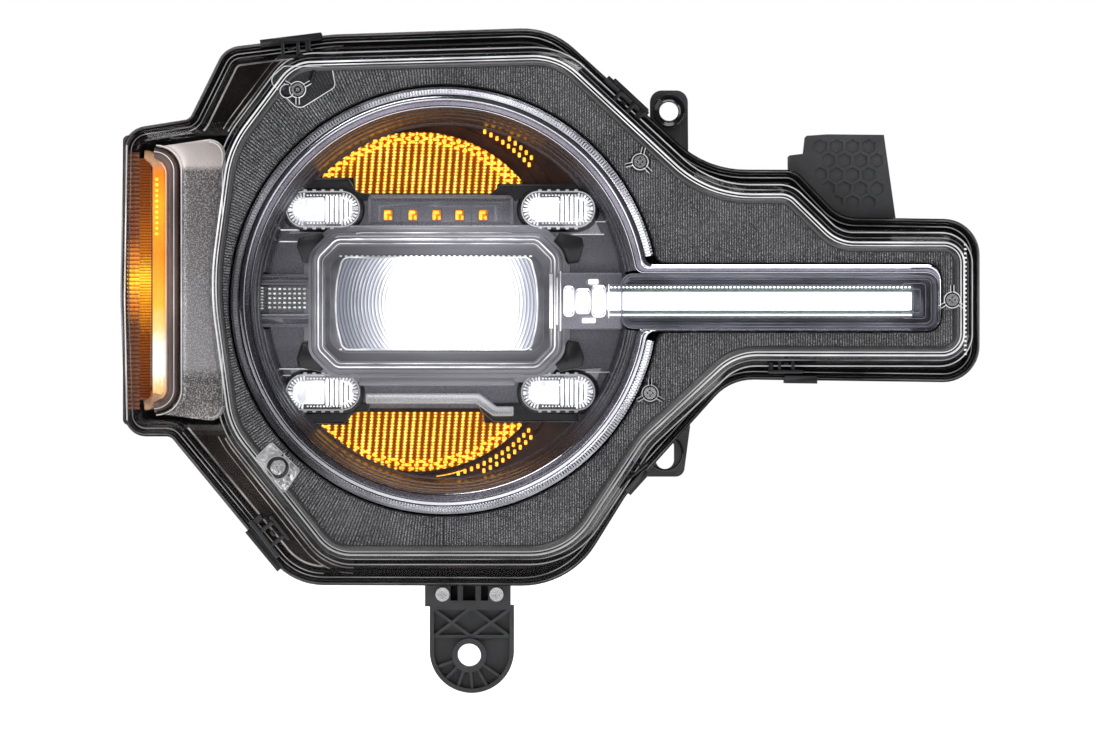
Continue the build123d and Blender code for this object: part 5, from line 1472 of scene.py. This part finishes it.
# Mark 1: painted highlight lines round the pocket, the plate and the cap
pocket.mark = 1
pocket.beads(POCKET, (0.2, -54.0, 0.25))
pocket.mark = 2
pocket.outline(PLATE, eased(-55.2, -53.0, dip=0.3, drop=1.0), front=True, steps=5)
pocket.mark = 1
pocket.beads(PLATE, (-0.2, -55.1, 0.3))
pocket.lathe(*CAP, round_section(6.4, -55.3, 0.35), 36, closed=True)
pocket.mark = 0
pocket.lathe(*CAP, [(6.2, -55.3), (4.4, -55.9), (4.2, -55.2)], 36)
pocket.mark = 2
pocket.lathe(*CAP, [(4.2, -55.4), (3.9, -56.3), (3.0, -56.6), (0.01, -56.4)], 36)
pocket.piece("bezel_pocket", DEEP_BLACK, "charcoal_bezel", more=(EDGE_HIGHLIGHT, WORN_SILVER))

# Jaws of the lens clips and the rolled edges of the bracket's ears ------------
# Blocks of one jaw: left, right, bottom, top, front
JAW = (
    (-14.0, 14.0, 0.0, 3.0, -43.0), (-7.0, -4.4, -9.0, 0.6, -42.0), (3.6, 6.2, -9.0, 0.6, -42.0),
    (-9.5, 9.0, -11.0, -8.4, -41.2), (9.6, 13.6, -6.0, 0.6, -41.0), (-2.4, 1.6, -5.6, -3.4, -42.2),
)
jaws = Shape()
for x, z, degrees, size in (
    (101.5, 112.0, -43.0, 0.92), (-98.5, -130.5, 128.0, 0.92), (-85.0, 142.5, 2.5, 0.8),
    (188.0, -38.0, 180.0, 0.7), (106.0, -93.5, -140.0, 0.5),
):
    for *sides, front in JAW:
        block = turned(x, z, degrees, *(side * size for side in sides))
        jaws.outline(block, eased(front, -36.5, 0.5, 0.1, 0.3, 0.9), front=True, steps=4)
jaws.piece("clip_jaws", CLIP, "black_clip")
ears = Shape()
for x, z, inner, outer, depth in ((124.6, 106.7, 5.6, 9.2, 10.9), (122.4, -84.9, 9.3, 10.6, 13.9)):
    ears.lathe(x, z, [
        (outer, depth), (outer - 0.2, depth - 1.1), (outer - 0.9, depth - 1.3), (inner + 0.9, depth - 0.5),
        (inner + 0.2, depth - 0.9), (inner, depth),
    ], 64)
ears.piece("ear_bosses", GLOSS_BLACK, "black_bracket")

# Mechanical pieces with eased edges ------------
for node, width in (
    ("housing", 0.8), ("lens_clips", 0.4), ("lower_bracket", 0.5), ("side_bracket", 0.6),
    ("upper_mount_block", 0.9), ("rear_cover", 0.7), ("led_driver", 0.6), ("inlet_connector", 0.4),
    ("adjuster_housing", 0.7), ("adjuster_wheel", 0.4), ("breather_vents", 0.4), ("heat_sink", 0.3),
    ("carrier_frame", 0.5), ("projector_housing", 0.4), ("bracket_screws", 0.25), ("cover_screws", 0.25),
):
    slot_name = NODE_SLOTS[node]
    softened(node, f"{node}_eased", NODE_FINISH[slot_name], width, slot_name)

# Camera, light and floor ------------
VIEW_WIDTH = 0.610       # what the picture spans at the lens
LENS_MM, SENSOR_MM = 200.0, 36.0
distance = VIEW_WIDTH * LENS_MM / SENSOR_MM
camera_data = bpy.data.cameras.new("camera")
camera_data.lens, camera_data.sensor_width = LENS_MM, SENSOR_MM
camera_data.clip_end = 20.0
camera = bpy.data.objects.new("camera", camera_data)
aim = at(60.5, -50.0, -38.2)
camera.location = (aim.x, aim.y - distance, aim.z)
camera.rotation_euler = (math.radians(90), 0, 0)
bpy.context.scene.collection.objects.link(camera)
bpy.context.scene.camera = camera


def softbox(name, place, target, width, height, power):
    data = bpy.data.lights.new(name, "AREA")
    data.shape, data.size, data.size_y = "RECTANGLE", width, height
    data.energy = power
    lamp = bpy.data.objects.new(name, data)
    lamp.location = place
    lamp.rotation_euler = (Vector(target) - Vector(place)).to_track_quat("-Z", "Y").to_euler()
    bpy.context.scene.collection.objects.link(lamp)


softbox("top box", (0.05, -0.9, 1.7), (0.05, 0, 0.2), 1.6, 0.5, 14)
softbox("left box", (-1.6, -0.9, 0.5), (0, 0, 0.2), 0.35, 1.6, 8)
softbox("right box", (1.7, -0.9, 0.5), (0.1, 0, 0.2), 0.35, 1.6, 8)
softbox("front fill", (-0.5, -2.6, 1.4), (0, 0, 0.2), 0.8, 0.5, 5)
softbox("back box", (0.0, 1.6, 1.3), (0, 0, 0.2), 1.2, 0.8, 14)

# The backdrop is pure white to the eye, and dim as a light, so that black plastic stays black
world = bpy.data.worlds.new("studio")
world.use_nodes = True
tree = world.node_tree
backdrop = tree.nodes["Background"]
backdrop.inputs["Color"].default_value = (1.0, 1.0, 1.0, 1.0)
backdrop.inputs["Strength"].default_value = 1.0
ambient = tree.nodes.new("ShaderNodeBackground")
ambient.inputs["Color"].default_value = (0.9, 0.93, 1.0, 1.0)
ambient.inputs["Strength"].default_value = 0.08
rays = tree.nodes.new("ShaderNodeLightPath")
either = tree.nodes.new("ShaderNodeMixShader")
tree.links.new(rays.outputs["Is Camera Ray"], either.inputs[0])
tree.links.new(ambient.outputs[0], either.inputs[1])
tree.links.new(backdrop.outputs[0], either.inputs[2])
tree.links.new(either.outputs[0], tree.nodes["World Output"].inputs["Surface"])
bpy.context.scene.world = world
bpy.context.scene.view_settings.view_transform = "Standard"

FLOOR_Z = CAD_LOW.z - 0.0005
FLOOR_HALF = 9.0
paper = Nodes("paper floor")
tone = paper.noise(90.0, 2.0)
PAPER = paper.done(paper.shader(
    Base_Color=paper.stops(tone, (0.3, (0.80, 0.80, 0.80)), (0.7, (0.84, 0.84, 0.84))), Roughness=0.95,
    Emission_Color=(1.0, 1.0, 1.0), Emission_Strength=0.97,
))
sheet = bpy.data.meshes.new("floor")
corners = [(x, y, FLOOR_Z) for x, y in ((-1, -1), (1, -1), (1, 1), (-1, 1))]
sheet.from_pydata([(x * FLOOR_HALF, y * FLOOR_HALF, z) for x, y, z in corners], [], [(0, 1, 2, 3)])
sheet.materials.append(PAPER)
floor = bpy.data.objects.new("floor", sheet)
bpy.context.scene.collection.objects.link(floor)
floor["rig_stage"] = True

low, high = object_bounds()
{"cad": [list(CAD_LOW), list(CAD_HIGH)], "visual": [list(low), list(high)]}
